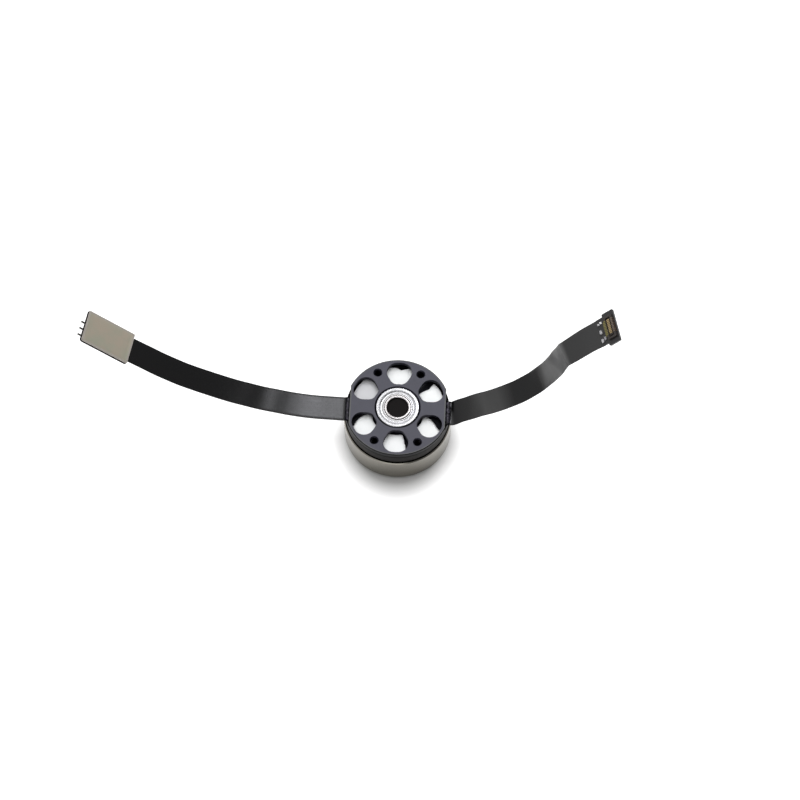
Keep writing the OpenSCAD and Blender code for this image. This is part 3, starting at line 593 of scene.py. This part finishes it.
shield_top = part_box("upper_bearing_top_shield")[1].z
outline = smooth_profile(SHIELD_PROFILE, SHIELD_STEPS)
profile = np.stack([SHIELD_INNER + outline[:, 0] / 1000, shield_top + outline[:, 1] / 1000], 1)
shield_skin = turned_skin(profile, SHIELD_SIDES)

shield_shade_and_reflection_finish = new_material("steel_sheet_with_painted_shade_and_reflection")
level_mm = own_mm(shield_shade_and_reflection_finish, (1000, 1000, 0))
radius = node(shield_shade_and_reflection_finish, "VectorMath", {0: level_mm}, operation="LENGTH")
tone = colour_stops(shield_shade_and_reflection_finish, radius, SHIELD_MM, SHIELD_SHADE_AND_REFLECTION_STOPS)
grain = node(shield_shade_and_reflection_finish, "TexNoise", {"Vector": level_mm, "Scale": 3.0, "Detail": 4.0})
rough = node(shield_shade_and_reflection_finish, "MapRange", {0: grain, **NOISE_SPAN, 3: 0.10, 4: 0.16})
end_material(shield_shade_and_reflection_finish, {"Base Color": tone, "Roughness": rough, "Metallic": 1.0})
make_piece("pressed_shield", shield_skin.reshape(-1, 3),
           grid_faces(*shield_skin.shape[:2], wrap_rows=True, wrap_columns=True),
           shield_shade_and_reflection_finish, "shield_steel", "upper_bearing_top_shield")

# Cages and shim
# Pressed from brass sheet, bright on its raised faces. A cage spaces the balls of each
# bearing, and the shim sets how far the bell's hub stands from the lower one.
dress(grained("pressed_brass", 3.0, 3.0, {"Metallic": 1.0, "Roughness": 0.32},
              tones=("#B49A5C", "#C8AF72")),
      "upper_bearing_cage", "lower_bearing_cage", "shim_washer")

# Shaft
# Ground steel with a black oxide coat, which is matt and almost without reflections. It is
# fixed in the bell's hub and runs in both bearings.
dress(grained("black_oxide_steel", 4.0, 5.0,
              {"Metallic": 0.0, "Roughness": 0.7, "Specular IOR Level": 0.15},
              tones=("#0F0D0D", "#151313")), "shaft")

# Core and magnets
# The core is a stack of stamped electrical steel, 0.2 mm a sheet, whose edges show as
# fine level lines. The magnets are sintered, nickel plated to a soft shine, and glued into
# the bell.
SHEET_MM = 0.2
core_finish = new_material("electrical_steel_stack")
height = node(core_finish, "SeparateXYZ", {0: own_mm(core_finish)}).outputs["Z"]
line = ridges(core_finish, height, SHEET_MM, -1.0, 1.0)
tone = node(core_finish, "Mix", {"Factor": line, "A": "#4A4C4F", "B": "#73767A"},
            data_type="RGBA")
bump = node(core_finish, "Bump", {"Height": line, "Strength": 0.4, "Distance": 0.00003})
end_material(core_finish, {"Base Color": tone, "Normal": bump, "Metallic": 1.0,
                           "Roughness": 0.45})
dress(core_finish, "stator_stack")
dress(grained("nickel_plated_magnet", 2.0, 4.0, {"Base Color": "#9C9C9E", "Metallic": 1.0},
              rough=(0.22, 0.36)), *[f"magnet_{i}" for i in range(1, 13)])

# Insulators
# White moulded nylon, faintly glossy. One is pressed on each face of the core, and keeps
# the wire off its edges.
dress(grained("white_moulded_nylon", 3.0, 3.0, {"Roughness": 0.45},
              tones=("#D8D8D4", "#E4E4E1")), "upper_insulator", "lower_insulator")

# Coils
# Enamelled copper wire, 0.22 mm thick with its glossy coat, wound side by side round each
# tooth. The outer turns show as ridges, and the coil swells a little between its ends.
TOOTH_COUNT = 9
TOOTH_HALF = 0.00105
FIRST_TOOTH = math.radians(30)
TOOTH_STEP = math.radians(40)
COIL_TURNS = 10
COIL_INNER_R = 0.00708
COIL_OUTER_R = 0.00907
COIL_FIT = 0.00003
INSULATOR_THICK = 0.0004
STEPS_PER_TURN = 6
CORNER_STEPS = 9
# Shares of the coil's build: where its ends, its bobbin and its ridges lie in it, and how
# far it swells. The power makes a ridge rounder than a sine.
COIL_END = 0.90
COIL_SWELL = 0.06
RIDGE_SHARE = 0.04
BOBBIN_SHARE = 0.02
RIDGE_POWER = 0.6
coil_low, coil_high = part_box("coil_7")
core_low, core_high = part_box("stator_stack")
coil_middle_z = (coil_low.z + coil_high.z) / 2
coil_half_width = (coil_high.x - coil_low.x) / 2
coil_half_height = (coil_high.z - coil_low.z) / 2
bobbin_half_height = (core_high.z - core_low.z) / 2 + INSULATOR_THICK


def four_corners(steps):
    """Directions round four quarter circles, one after another, and the two signs of the
    corner that each belongs to."""
    arc = np.linspace(0, math.pi / 2, steps)
    return (np.concatenate([arc + k * math.pi / 2 for k in range(4)]),
            np.repeat([1, -1, -1, 1], steps), np.repeat([1, 1, -1, -1], steps))


def wound_coil(side_build, top_build):
    """Points of a coil on the +X axis. A profile of half-circle ridges, one a turn, runs out
    along the radius and back along the bobbin, and is carried round a rounded rectangle."""
    steps = STEPS_PER_TURN * COIL_TURNS
    share = np.linspace(0, 1, steps + 1)
    ridge = np.abs(np.sin(math.pi * COIL_TURNS * share)) ** RIDGE_POWER
    outer = COIL_END + COIL_SWELL * np.sin(math.pi * share) + RIDGE_SHARE * ridge
    radius = COIL_INNER_R + (COIL_OUTER_R - COIL_INNER_R) * np.concatenate([share, share[::-1]])
    offset = np.concatenate([outer, np.full(steps + 1, BOBBIN_SHARE)])
    turn, sy, sz = (a[:, None] for a in four_corners(CORNER_STEPS))
    y = TOOTH_HALF * sy + side_build * np.cos(turn) * offset[None, :]
    z = bobbin_half_height * sz + top_build * np.sin(turn) * offset[None, :]
    return np.stack([np.broadcast_to(radius[None, :], y.shape), y, z], -1)


def turned(points, angle):
    """Points turned about the motor axis by an angle."""
    c, s = math.cos(angle), math.sin(angle)
    return points @ np.array([[c, s, 0], [-s, c, 0], [0, 0, 1]])


copper = grained("enamelled_copper_wire", 2.5, 3.0,
                 {"Metallic": 0.7, "Roughness": 0.3, "Coat Weight": 0.5, "Coat Roughness": 0.12},
                 tones=("#8A4B22", "#A9632F"))
coil_points = wound_coil(coil_half_width - TOOTH_HALF - COIL_FIT,
                         coil_half_height - bobbin_half_height - COIL_FIT)
coil_faces = grid_faces(*coil_points.shape[:2], wrap_rows=True, wrap_columns=True)
for i in range(TOOTH_COUNT):
    placed = turned(coil_points.reshape(-1, 3), FIRST_TOOTH + i * TOOTH_STEP)
    placed[:, 2] += coil_middle_z
    make_piece(f"wound_coil_{i + 1}", placed, coil_faces, copper, "enamelled_copper",
               f"coil_{i + 1}")

# Copper leads
# Three ends of the winding that rise between two pads to the left ribbon. Each is the
# coils' wire, bent by a hair on its way up.
LEAD_RADIUS = 0.00015
LEAD_FIT = 0.95
LEAD_BEND = 0.00004
LEAD_RINGS, LEAD_SIDES = 12, 12
lead_low, lead_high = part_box("phase_leads")


def bent_tube(centres, radius, sides):
    """Rings of points about a path: each ring lies square to the path's own direction."""
    tangent = unit(np.gradient(centres, axis=0))
    side = unit(np.cross(tangent, [0.0, 1.0, 0.0]))
    other = np.cross(tangent, side)
    turn = np.linspace(0, 2 * math.pi, sides, endpoint=False)
    return (centres[:, None, :] + radius * (np.cos(turn)[None, :, None] * side[:, None, :]
                                            + np.sin(turn)[None, :, None] * other[:, None, :]))


def joined(parts):
    """The points and faces of several skins as those of one, numbered on from part to part."""
    starts = np.cumsum([0] + [len(points) for points, _ in parts]).tolist()
    return (np.vstack([points for points, _ in parts]),
            [[first + v for v in face] for first, (_, faces) in zip(starts, parts)
             for face in faces])


leads = []
for x in np.linspace(lead_low.x + LEAD_RADIUS, lead_high.x - LEAD_RADIUS, 3):
    rise = np.linspace(0, 1, LEAD_RINGS)
    centres = np.stack([x + LEAD_BEND * np.sin(math.pi * rise),
                        (lead_low.y + lead_high.y) / 2 + 0 * rise,
                        lead_low.z + (lead_high.z - lead_low.z) * rise], 1)
    rings = bent_tube(centres, LEAD_RADIUS * LEAD_FIT, LEAD_SIDES)
    leads.append((rings.reshape(-1, 3), tube_faces(LEAD_RINGS, LEAD_SIDES)))
make_piece("winding_leads", *joined(leads), copper, "enamelled_copper", "phase_leads")

# White pads
# White silicone, poured over the coil heads behind each window and cured. Its skin is smooth and
# matt with round shoulders, and its outline wanders where it crept. Painted shade darkens its
# foot nearly to black, and its edge, and some whole pads, to grey.
# For each pad: where it starts and ends, in turns, how white painted shade leaves it, and the
# dents of its outline. A dent is where it lies, in degrees from the outward direction, how deep
# it is as a share of the pad's half size, and how many degrees wide.
PADS = [(0.012, 0.125, 1.0, [(80, 0.15, 30)]),
        (0.178, 0.322, 0.9, [(-8, 0.26, 15)]),
        (0.344, 0.488, 0.25, [(40, 0.01, 20)]),
        (0.515, 0.656, 0.85, [(-50, 0.03, 20)]),
        (0.678, 0.797, 0.9, [(62, 0.05, 12), (96, 0.06, 9), (125, 0.04, 10)]),
        (0.844, 0.986, 0.9, [(60, 0.02, 20)])]
PAD_INNER = 0.0061
PAD_REACH = 0.01125
PAD_TRIM = 0.0045
PAD_CORNER_POWER = 12.0
PAD_SHOULDER = 0.00022
PAD_SHADE_WIDTH = 0.0007
PAD_RINGS, PAD_SIDES = 30, 120
# The outline wanders by these shares of its size, with these waves round it, and the top
# sags by a share, with waves along X and Y in radians a metre.
PAD_SIZE = 0.992
PAD_WANDER = [(0.004, 5), (0.004, 9)]
PAD_SAG = 0.05
SAG_WAVES = (900, 1100)
# The share of its tone that a pad keeps at its very edge, under painted shade
PAD_EDGE_SHADE = 0.45
pads_low, pads_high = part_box("winding_pads")


def poured_pad(start, end, tone, dents, seed):
    """A closed dome over a curved patch between two radii and two turns. Rings run from its
    middle to its outline, which is a superellipse less the dents. Its height follows a quarter
    ellipse over the shoulder, less a slow sag, and painted shade darkens its tone near the
    outline."""
    rng = np.random.default_rng(seed)
    phases = rng.uniform(0, 2 * math.pi, 4)
    share = np.sin(np.linspace(0, math.pi / 2, PAD_RINGS + 1))[1:, None]
    turn = np.linspace(0, 2 * math.pi, PAD_SIDES, endpoint=False)[None, :]
    size = (np.abs(np.cos(turn)) ** PAD_CORNER_POWER
            + np.abs(np.sin(turn)) ** PAD_CORNER_POWER) ** (-1 / PAD_CORNER_POWER)
    size *= sum((share_of * np.sin(waves * turn + phase)
                 for (share_of, waves), phase in zip(PAD_WANDER, phases)), PAD_SIZE)
    for place, depth, width in dents:
        away = (turn - math.radians(place) + math.pi) % (2 * math.pi) - math.pi
        size -= depth * np.exp(-(away / math.radians(width)) ** 2)
    along = share * size * np.cos(turn)
    aside = share * size * np.sin(turn)
    out = PAD_INNER + (PAD_REACH - PAD_INNER) * (along + 1) / 2
    angle = 2 * math.pi * (start + PAD_TRIM + (end - start - 2 * PAD_TRIM) * (aside + 1) / 2)
    x, y = out * np.cos(angle), out * np.sin(angle)
    inward = (1 - share) * size * (PAD_REACH - PAD_INNER) / 2
    near = 1 - np.clip(inward / PAD_SHOULDER, 0, 1)
    wave = np.sin(SAG_WAVES[0] * x + phases[2]) * np.sin(SAG_WAVES[1] * y + phases[3])
    sag = PAD_SAG * (0.5 + 0.5 * wave)
    z = pads_low.z + (pads_high.z - pads_low.z) * np.sqrt(1 - near ** 2) * (1 - sag)
    # Painted shade: the tone falls towards the outline.
    shade = tone * (PAD_EDGE_SHADE + (1 - PAD_EDGE_SHADE) * np.clip(inward / PAD_SHADE_WIDTH, 0, 1))
    middle = [[x[0].mean(), y[0].mean(), z[0].mean()]]
    points = np.vstack([np.stack([x, y, z], -1).reshape(-1, 3), middle])
    k = np.arange(PAD_SIDES)
    fan = np.stack([k, (k + 1) % PAD_SIDES, np.full(PAD_SIDES, PAD_RINGS * PAD_SIDES)], 1)
    foot = list(range((PAD_RINGS - 1) * PAD_SIDES, PAD_RINGS * PAD_SIDES))
    faces = grid_faces(PAD_RINGS, PAD_SIDES, wrap_columns=True) + fan.tolist() + [foot]
    return points, faces, np.append(shade.ravel(), tone)


silicone = new_material("white_cured_silicone")
mm = own_mm(silicone)
cloud = node(silicone, "TexNoise", {"Vector": mm, "Scale": 0.6, "Detail": 3.0})
shade = node(silicone, "Attribute", attribute_name="tone").outputs["Fac"]
tone = node(silicone, "Mix", {"Factor": shade, "A": "#B9B9BD", "B": "#F8FAFA"}, data_type="RGBA")
height = node(silicone, "SeparateXYZ", {0: mm}).outputs["Z"]
# Painted shade: the pad's low sides are painted nearly black.
foot = node(silicone, "MapRange", {0: height, 1: 9.2, 2: 9.9, 3: 0.0, 4: 1.0})
painted_foot_shade = node(silicone, "Mix", {"Factor": foot, "A": "#131318", "B": tone}, data_type="RGBA")
bump = node(silicone, "Bump", {"Height": cloud, "Strength": 0.2, "Distance": 0.0002})
end_material(silicone, {"Base Color": painted_foot_shade, "Normal": bump, "Roughness": 0.55,
                        "Subsurface Weight": 0.15, "Subsurface Scale": 1.0,
                        "Subsurface Radius": (0.0006, 0.0006, 0.0006)})
poured = [poured_pad(*pad, number + 1) for number, pad in enumerate(PADS)]
pads = make_piece("silicone_pads", *joined([pad[:2] for pad in poured]), silicone, "white_pad",
                  "winding_pads")
mark(pads, "tone", np.concatenate([pad[2] for pad in poured]))

# Ribbon lands
# The ends of the ribbons under the plate, cut to wings that carry the solder points. Their film
# is painted darker and less shiny than the ribbon's, as painted shade, because no light falls
# straight on it.
land_film = grained("black_polyimide_land", 2.0, 4.0,
                    {"Roughness": 0.4, "Specular IOR Level": 0.04}, tones=("#050508", "#09090D"))
# Outlines in millimetres, of the right side: the straight part, then each side's wing
LAND = [(6.9, 1.55), (10.65, 1.55), (10.65, 2.6), (12.2, 2.6), (12.2, -3.4), (10.65, -3.4)]
LAND_END = (6.9, -1.55)
RIGHT_WING = [(10.65, -3.4), (10.6, -3.95), (10.3, -4.45), (9.85, -4.62), (9.45, -4.35),
              (9.05, -3.75), (8.6, -3.05), (8.0, -2.4), (7.4, -1.9), (6.9, -1.55)]
LEFT_WING = [(10.65, -3.4), (10.6, -4.0), (10.4, -4.45), (10.1, -4.6), (9.8, -4.3),
             (9.45, -3.5), (9.0, -2.75), (8.4, -2.15), (7.65, -1.75), (6.9, -1.55)]
WING_STEPS = 6

for side, name, wing in ((1, "right", RIGHT_WING), (-1, "left", LEFT_WING)):
    low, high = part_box(f"{name}_flex_land")
    edge = smooth_route(np.array(wing), WING_STEPS)[1:-1]
    outline = np.vstack([LAND, edge, [LAND_END]]) * [side, 1] / 1000
    points = np.vstack([np.column_stack([outline, np.full(len(outline), z)])
                        for z in (low.z, high.z)])
    make_piece(f"{name}_cut_land", points, tube_faces(2, len(outline)), land_film, "flex_black",
               f"{name}_flex_land", smooth=False)

# Ribbon pads
# The wide ends of the ribbons, where the film lies over solid copper. The left one has the lands'
# film, painted a little dull as shade.
# Handling has left the right one, which lies open, greyer than the ribbon.
dress(grained("scuffed_polyimide_film", 1.2, 4.0, {"Roughness": 0.3, "Specular IOR Level": 0.45},
              tones=("#1E1E1F", "#333233")), "right_flex_head")
dress(land_film, "left_flex_head")

# Winding board
# A ring of glass epoxy with a black solder mask, which lies on the coil heads and joins their
# wires. The weave of the glass shows faintly, 0.5 mm from thread to thread.
THREAD_MM = 0.5
board_mask = new_material("black_masked_glass_epoxy")
weave = node(board_mask, "TexBrick",
             {"Vector": own_mm(board_mask), "Scale": 1.0, "Mortar Size": 0.06,
              "Brick Width": THREAD_MM, "Row Height": THREAD_MM, "Color1": "#24242C",
              "Color2": "#2B2B34", "Mortar": "#1B1B22"})
end_material(board_mask, {"Base Color": weave, "Roughness": 0.35, "Specular IOR Level": 0.3})
dress(board_mask, "winding_board")

# Exit seals
# A bead of black sealant over each ribbon, against the flat of the plate. It cured glossy,
# with a lumpy back.
BEAD_ROWS, BEAD_COLUMNS = 60, 16
# The lumps stand this share of the bead's size about a mean, with waves along it.
BEAD_MEAN = 0.84
BEAD_LUMPS = [(0.07, 13), (0.05, 29), (0.03, 51)]
# The powers that round off the bead's ends and its back, and its least reach
END_POWER, BACK_POWER, BEAD_FOOT = 8, 0.8, 0.15
sealant = new_material("black_cured_sealant")
lumps = node(sealant, "TexNoise", {"Vector": own_mm(sealant), "Scale": 1.8, "Detail": 3.0})
patch = node(sealant, "MapRange", {0: lumps, 1: 0.46, 2: 0.66})
tone = node(sealant, "Mix", {"Factor": patch, "A": "#141318", "B": "#45414E"}, data_type="RGBA")
bump = node(sealant, "Bump", {"Height": lumps, "Strength": 0.4, "Distance": 0.0002})
end_material(sealant, {"Base Color": tone, "Normal": bump, "Roughness": 0.32,
                       "Specular IOR Level": 0.35})


def sealant_bead(low, high, side, seed):
    """A half round bead along Y that fills its box: across it the height follows a circle,
    and along it a slow wave and the round ends scale that circle."""
    rng = np.random.default_rng(seed)
    y = np.linspace(0, 1, BEAD_ROWS)
    phases = rng.uniform(0, 2 * math.pi, len(BEAD_LUMPS))
    lumps = sum((high * np.sin(waves * y + phase)
                 for (high, waves), phase in zip(BEAD_LUMPS, phases)), BEAD_MEAN)
    ends = np.sqrt(np.clip(1 - np.abs(2 * y - 1) ** END_POWER, 0, 1))
    size = (lumps * ends)[:, None]
    turn = np.linspace(0, math.pi, BEAD_COLUMNS)[None, :]
    wall = low.x if side > 0 else high.x
    x = wall + (side * (high.x - low.x) * (0.5 - 0.5 * np.cos(turn))
                * (BEAD_FOOT + (1 - BEAD_FOOT) * size))
    z = low.z + (high.z - low.z) * np.sin(turn) ** BACK_POWER * size
    ys = (low.y + (high.y - low.y) * y)[:, None] + 0 * turn
    index = np.arange(BEAD_ROWS * BEAD_COLUMNS).reshape(BEAD_ROWS, BEAD_COLUMNS)
    rim = np.concatenate([index[0, :], index[1:, -1], index[-1, -2::-1], index[-2:0:-1, 0]])
    return (np.stack([x, ys, z], -1).reshape(-1, 3),
            grid_faces(BEAD_ROWS, BEAD_COLUMNS) + [rim.tolist()])


for name, side, seed in (("left", -1, 3), ("right", 1, 5)):
    points, faces = sealant_bead(*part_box(f"{name}_exit_seal"), side, seed)
    make_piece(f"{name}_sealant_bead", points, faces, sealant, "sealant", f"{name}_exit_seal")

# Left head
# A stamped plate of nickel silver, glued over the ribbon's pad to stiffen it for its plug.
# The stamp left a faint frame just inside its edge, and handling left it unevenly dull.
stiffener_metal = new_material("dull_nickel_silver")
mm = own_mm(stiffener_metal)
cloud = node(stiffener_metal, "TexNoise",
             {"Vector": mm, "Scale": 0.28, "Detail": 3.0, "Roughness": 0.55})
blend = node(stiffener_metal, "MapRange", {0: cloud, 1: 0.35, 2: 0.65})
tone = node(stiffener_metal, "Mix", {"Factor": blend, "A": "#BBBAA8", "B": "#C6BBAA"},
            data_type="RGBA")
border = node(stiffener_metal, "Attribute", attribute_name="border").outputs["Fac"]
skin = node(stiffener_metal, "Mix", {"Factor": border, "A": tone, "B": "#C2BCB4"},
            data_type="RGBA")
grain = node(stiffener_metal, "TexNoise", {"Vector": mm, "Scale": 6.0, "Detail": 4.0})
rough = node(stiffener_metal, "MapRange", {0: grain, **NOISE_SPAN, 3: 0.42, 4: 0.55})
bump = node(stiffener_metal, "Bump", {"Height": grain, "Strength": 0.15, "Distance": 0.00003})
end_material(stiffener_metal, {"Base Color": skin, "Roughness": rough, "Normal": bump,
                               "Metallic": 0.8})

HEAD_LENGTH = 0.0130
HEAD_WIDTH = 0.0079
STIFFENER_INSET = 0.00003
STIFFENER_DROP = 0.00022
STIFFENER_THICK = 0.0003
STIFFENER_CORNER = 0.00035
STIFFENER_EDGE = 0.00006
FRAME_INSET = 0.00045
FRAME_SLOPE = 0.0001
FRAME_DEPTH = 0.00003
ROUND_STEPS = 7
SMALLEST_ROUND = 0.00002
stiffener_length = HEAD_LENGTH - STIFFENER_INSET - STIFFENER_DROP
stiffener_width = HEAD_WIDTH - STIFFENER_INSET - STIFFENER_DROP
stiffener_top = FLEX_THICK / 2 + STIFFENER_THICK
# Rings from the middle of the lower face, round the edge and over the frame, to the middle
# of the top: how far in, how far down, and how much it has the border's tone
STIFFENER_RINGS = [(0.0010, STIFFENER_THICK, 1), (STIFFENER_EDGE, STIFFENER_THICK, 1),
                   (0, STIFFENER_THICK - STIFFENER_EDGE, 1), (0, STIFFENER_EDGE, 1),
                   (STIFFENER_EDGE * 0.3, STIFFENER_EDGE * 0.3, 1), (STIFFENER_EDGE, 0, 1),
                   (FRAME_INSET - FRAME_SLOPE, 0, 0.8), (FRAME_INSET, FRAME_DEPTH, 0.7),
                   (FRAME_INSET + FRAME_SLOPE, 0, 0), (0.0010, 0, 0), (0.0024, 0, 0),
                   (stiffener_width / 2 - 0.0001, 0, 0)]


def on_head(points, start, head):
    """Points given along, across and up a head, in the row frame."""
    return start + points @ np.stack(head)


def stacked_rounds(length, width, corner, rings):
    """A closed skin of rounded rectangles, one inside the other. Each ring is the outline
    drawn in by its own inset, at its own height, with corners that keep a common centre while
    they can. The length runs from 0 along X."""
    turn, sx, sy = four_corners(ROUND_STEPS)
    stack = []
    for inset, height in rings:
        round_now = max(corner - inset, SMALLEST_ROUND)
        x = sx * (length / 2 - inset - round_now) + round_now * np.cos(turn)
        y = sy * (width / 2 - inset - round_now) + round_now * np.sin(turn)
        stack.append(np.stack([length / 2 + x, y, np.full_like(x, height)], 1))
    return np.vstack(stack), tube_faces(len(stack), len(turn))


left_start = left_points[-1]
points, faces = stacked_rounds(stiffener_length, stiffener_width, STIFFENER_CORNER,
                               [(inset, stiffener_top - drop)
                                for inset, drop, _ in STIFFENER_RINGS])
points += [STIFFENER_INSET, (STIFFENER_DROP - STIFFENER_INSET) / 2, 0]
stiffener = make_piece("left_stamped_stiffener", on_head(points, left_start, left_head), faces,
                       stiffener_metal, "stiffener_steel", "left_stiffener")
mark(stiffener, "border", np.repeat([tone for _, _, tone in STIFFENER_RINGS],
                                    len(points) // len(STIFFENER_RINGS)))

# Plugs and boards
# Black glass-filled nylon, moulded, with a faint grain. Both plugs are soldered to the
# ribbons' ends, and a board of the same tone stiffens the right end from below.
plug_plastic = grained("black_moulded_nylon", 5.0, 4.0,
                       {"Roughness": 0.45, "Specular IOR Level": 0.35},
                       tones=("#2A2624", "#37322F"))
dress(plug_plastic, "right_stiffener")

# The left plug is a block under the head, with a pocket round a tongue in its lower face.
# Its rings run from its top, down its side and into the pocket: how far in, how far down
PLUG_START = 0.0075
PLUG_LENGTH = 0.0050
PLUG_WIDTH = 0.0069
PLUG_CORNER = 0.0004
PLUG_RINGS = [(0.0006, 0), (0.00003, 0), (0, 0.00003), (0, 0.00087), (0.00005, 0.00095),
              (0.00013, 0.0010), (0.00080, 0.0010), (0.00085, 0.00095), (0.00085, 0.00040),
              (0.00150, 0.00040), (0.00150, 0.00085), (0.00156, 0.00090), (0.00240, 0.00090)]
points, faces = stacked_rounds(PLUG_LENGTH, PLUG_WIDTH, PLUG_CORNER,
                               [(inset, -FLEX_THICK / 2 - drop) for inset, drop in PLUG_RINGS])
points[:, 0] += PLUG_START
make_piece("left_moulded_plug", on_head(points, left_start, left_head), faces, plug_plastic,
           "board_black", "left_connector")

# The right plug is a low tray with a tongue along its middle, moulded in one. Its rings run
# from its foot, over its wall and through the slot to the tongue: how far in, how far up
SOCKET_START = 0.00225
SOCKET_LENGTH = 0.0023
SOCKET_WIDTH = 0.0056
SOCKET_CORNER = 0.00015
SOCKET_TALL = 0.00055
SOCKET_WALL = 0.00050
SOCKET_SLOT = 0.00030
TONGUE_INSET = SOCKET_WALL + SOCKET_SLOT
SOCKET_RINGS = [(0.0006, 0), (0, 0), (0, 0.00050), (0.00005, SOCKET_TALL),
                (SOCKET_WALL - 0.00004, SOCKET_TALL), (SOCKET_WALL, 0.00051),
                (SOCKET_WALL, 0.00015), (TONGUE_INSET, 0.00015), (TONGUE_INSET, 0.00042),
                (TONGUE_INSET + 0.00004, 0.00046), (SOCKET_LENGTH / 2 - 0.00005, 0.00046)]
right_start = right_points[-1]
points, faces = stacked_rounds(SOCKET_LENGTH, SOCKET_WIDTH, SOCKET_CORNER,
                               [(inset, FLEX_THICK / 2 + rise) for inset, rise in SOCKET_RINGS])
points[:, 0] += SOCKET_START
make_piece("right_moulded_socket", on_head(points, right_start, right_head), faces,
           plug_plastic, "board_black", "right_connector")

# Contacts
# Stamped phosphor bronze: tinned on the left plug and gilt on the right. Each row of the gilt is
# painted with the reflection of what it faces: green, violet or warm.
dress(grained("tinned_bronze", 4.0, 3.0, {"Base Color": "#6C6B66", "Metallic": 1.0},
              rough=(0.25, 0.45)), "left_contacts")

GILT_REFLECTION_STOPS = [(0.0, "#8B8C58"), (0.5, "#8A7F84"), (1.0, "#E3C795")]
gilt = new_material("gilt_bronze")
grain = node(gilt, "TexNoise", {"Vector": own_mm(gilt), "Scale": 3.0, "Detail": 3.0})
row = node(gilt, "Attribute", attribute_name="row").outputs["Fac"]
# Painted reflection: each row takes its colour from its row number.
painted_reflection_hue = colour_stops(gilt, row, (0.0, 1.0), GILT_REFLECTION_STOPS)
tone = node(gilt, "Mix", {"Factor": grain, "A": painted_reflection_hue, "B": "#8A7A58"}, data_type="RGBA")
end_material(gilt, {"Base Color": tone, "Metallic": 1.0, "Roughness": 0.3})

# Each contact is a strip bent over its wall of the socket, and a row of flat ones lies on
# the tongue. A path gives a strip's middle, along and up.
PIN_COUNT = 9
PIN_PITCH = 0.0004
PIN_WIDTH = 0.00026
PIN_THICK = 0.00004
PIN_LEAN = 0.00015
PIN_GAP = 0.00003
LEFT_FOOT = 0.00065
RIGHT_FOOT = 0.00020
tongue = SOCKET_START + SOCKET_LENGTH / 2
tongue_half = SOCKET_LENGTH / 2 - TONGUE_INSET
TONGUE_PIN = [(tongue + side * (tongue_half + gap), FLEX_THICK / 2 + rise)
              for side, gap, rise in ((-1, 0.00003, 0.00030), (-1, 0.00002, 0.00048),
                                      (1, 0.00002, 0.00048), (1, 0.00003, 0.00030))]


def wall_pin(wall, inward, foot):
    """Path of a contact from the end of its foot to a wall, up the wall and over its top.
    Inward is the sign of the direction into the socket."""
    outside, film, top = wall - inward * PIN_GAP, FLEX_THICK / 2, FLEX_THICK / 2 + SOCKET_TALL
    return [(wall - inward * foot, film + 0.00004), (outside, film + 0.00005),
            (outside, top + 0.00002), (wall + inward * SOCKET_WALL * 0.9, top + 0.00003)]


def strip_skin(path, thick):
    """The closed outline of a thin strip along a path of (along, up), in metres."""
    line = np.array(path)
    step = unit(np.gradient(line, axis=0))
    side = np.stack([-step[:, 1], step[:, 0]], 1) * thick / 2
    return np.vstack([line + side, (line - side)[::-1]])


pins, rows = [], []
for path, row in ((wall_pin(SOCKET_START, 1, LEFT_FOOT), 0.0), (TONGUE_PIN, 1.0),
                  (wall_pin(SOCKET_START + SOCKET_LENGTH, -1, RIGHT_FOOT), 0.5)):
    outline = strip_skin(path, PIN_THICK)
    count = len(outline)
    for place in (np.arange(PIN_COUNT) - (PIN_COUNT - 1) / 2) * PIN_PITCH + PIN_LEAN:
        across = np.repeat([place - PIN_WIDTH / 2, place + PIN_WIDTH / 2], count)
        along, up = np.tile(outline, (2, 1)).T
        pins.append((np.column_stack([along, across, up]), tube_faces(2, count)))
        rows.append(np.full(2 * count, row))
points, faces = joined(pins)
gilt_rows = make_piece("right_gilt_rows", on_head(points, right_start, right_head), faces, gilt,
                       "contact_gold", "right_contacts", smooth=False)
mark(gilt_rows, "row", np.concatenate(rows))

# Soldered parts
# Chip resistors and capacitors beside the socket: a pale ceramic body between two tinned
# ends, soldered flat. For each, in millimetres: its start along the head, its middle across,
# its length and width, and then how pale it is.
CHIPS = [(0.95, 2.15, 0.4, 0.55, 1.0), (0.28, 2.0, 0.4, 0.5, 0.5), (0.36, 0.0, 0.5, 0.95, 0.35),
         (0.26, -2.15, 0.5, 0.9, 0.4), (1.15, -1.85, 0.42, 0.8, 0.15)]
CHIP_TALL = 0.0003
CHIP_CORNER = 0.00008
CHIP_RINGS = [(0.00004, 0), (0, 0.00003), (0, CHIP_TALL - 0.00004), (0.00003, CHIP_TALL),
              (0.00008, CHIP_TALL), (0.00014, CHIP_TALL - 0.00002)]
ceramic = new_material("tinned_ceramic_chip")
grain = node(ceramic, "TexNoise", {"Vector": own_mm(ceramic), "Scale": 5.0, "Detail": 3.0})
pale = node(ceramic, "Attribute", attribute_name="pale").outputs["Fac"]
tone = node(ceramic, "Mix", {"Factor": pale, "A": "#7C7A80", "B": "#EDEDEE"}, data_type="RGBA")
rough = node(ceramic, "MapRange", {0: grain, **NOISE_SPAN, 3: 0.25, 4: 0.45})
end_material(ceramic, {"Base Color": tone, "Roughness": rough})

parts, tones = [], []
for along, aside, length, width, pale in CHIPS:
    points, faces = stacked_rounds(length / 1000, width / 1000, CHIP_CORNER,
                                   [(inset, FLEX_THICK / 2 + rise) for inset, rise in CHIP_RINGS])
    parts.append((points + [along / 1000, aside / 1000, 0], faces))
    tones.append(np.full(len(points), pale))
points, faces = joined(parts)
chips = make_piece("right_soldered_chips", on_head(points, right_start, right_head), faces,
                   ceramic, "contact_metal", "right_components")
mark(chips, "pale", np.concatenate(tones))
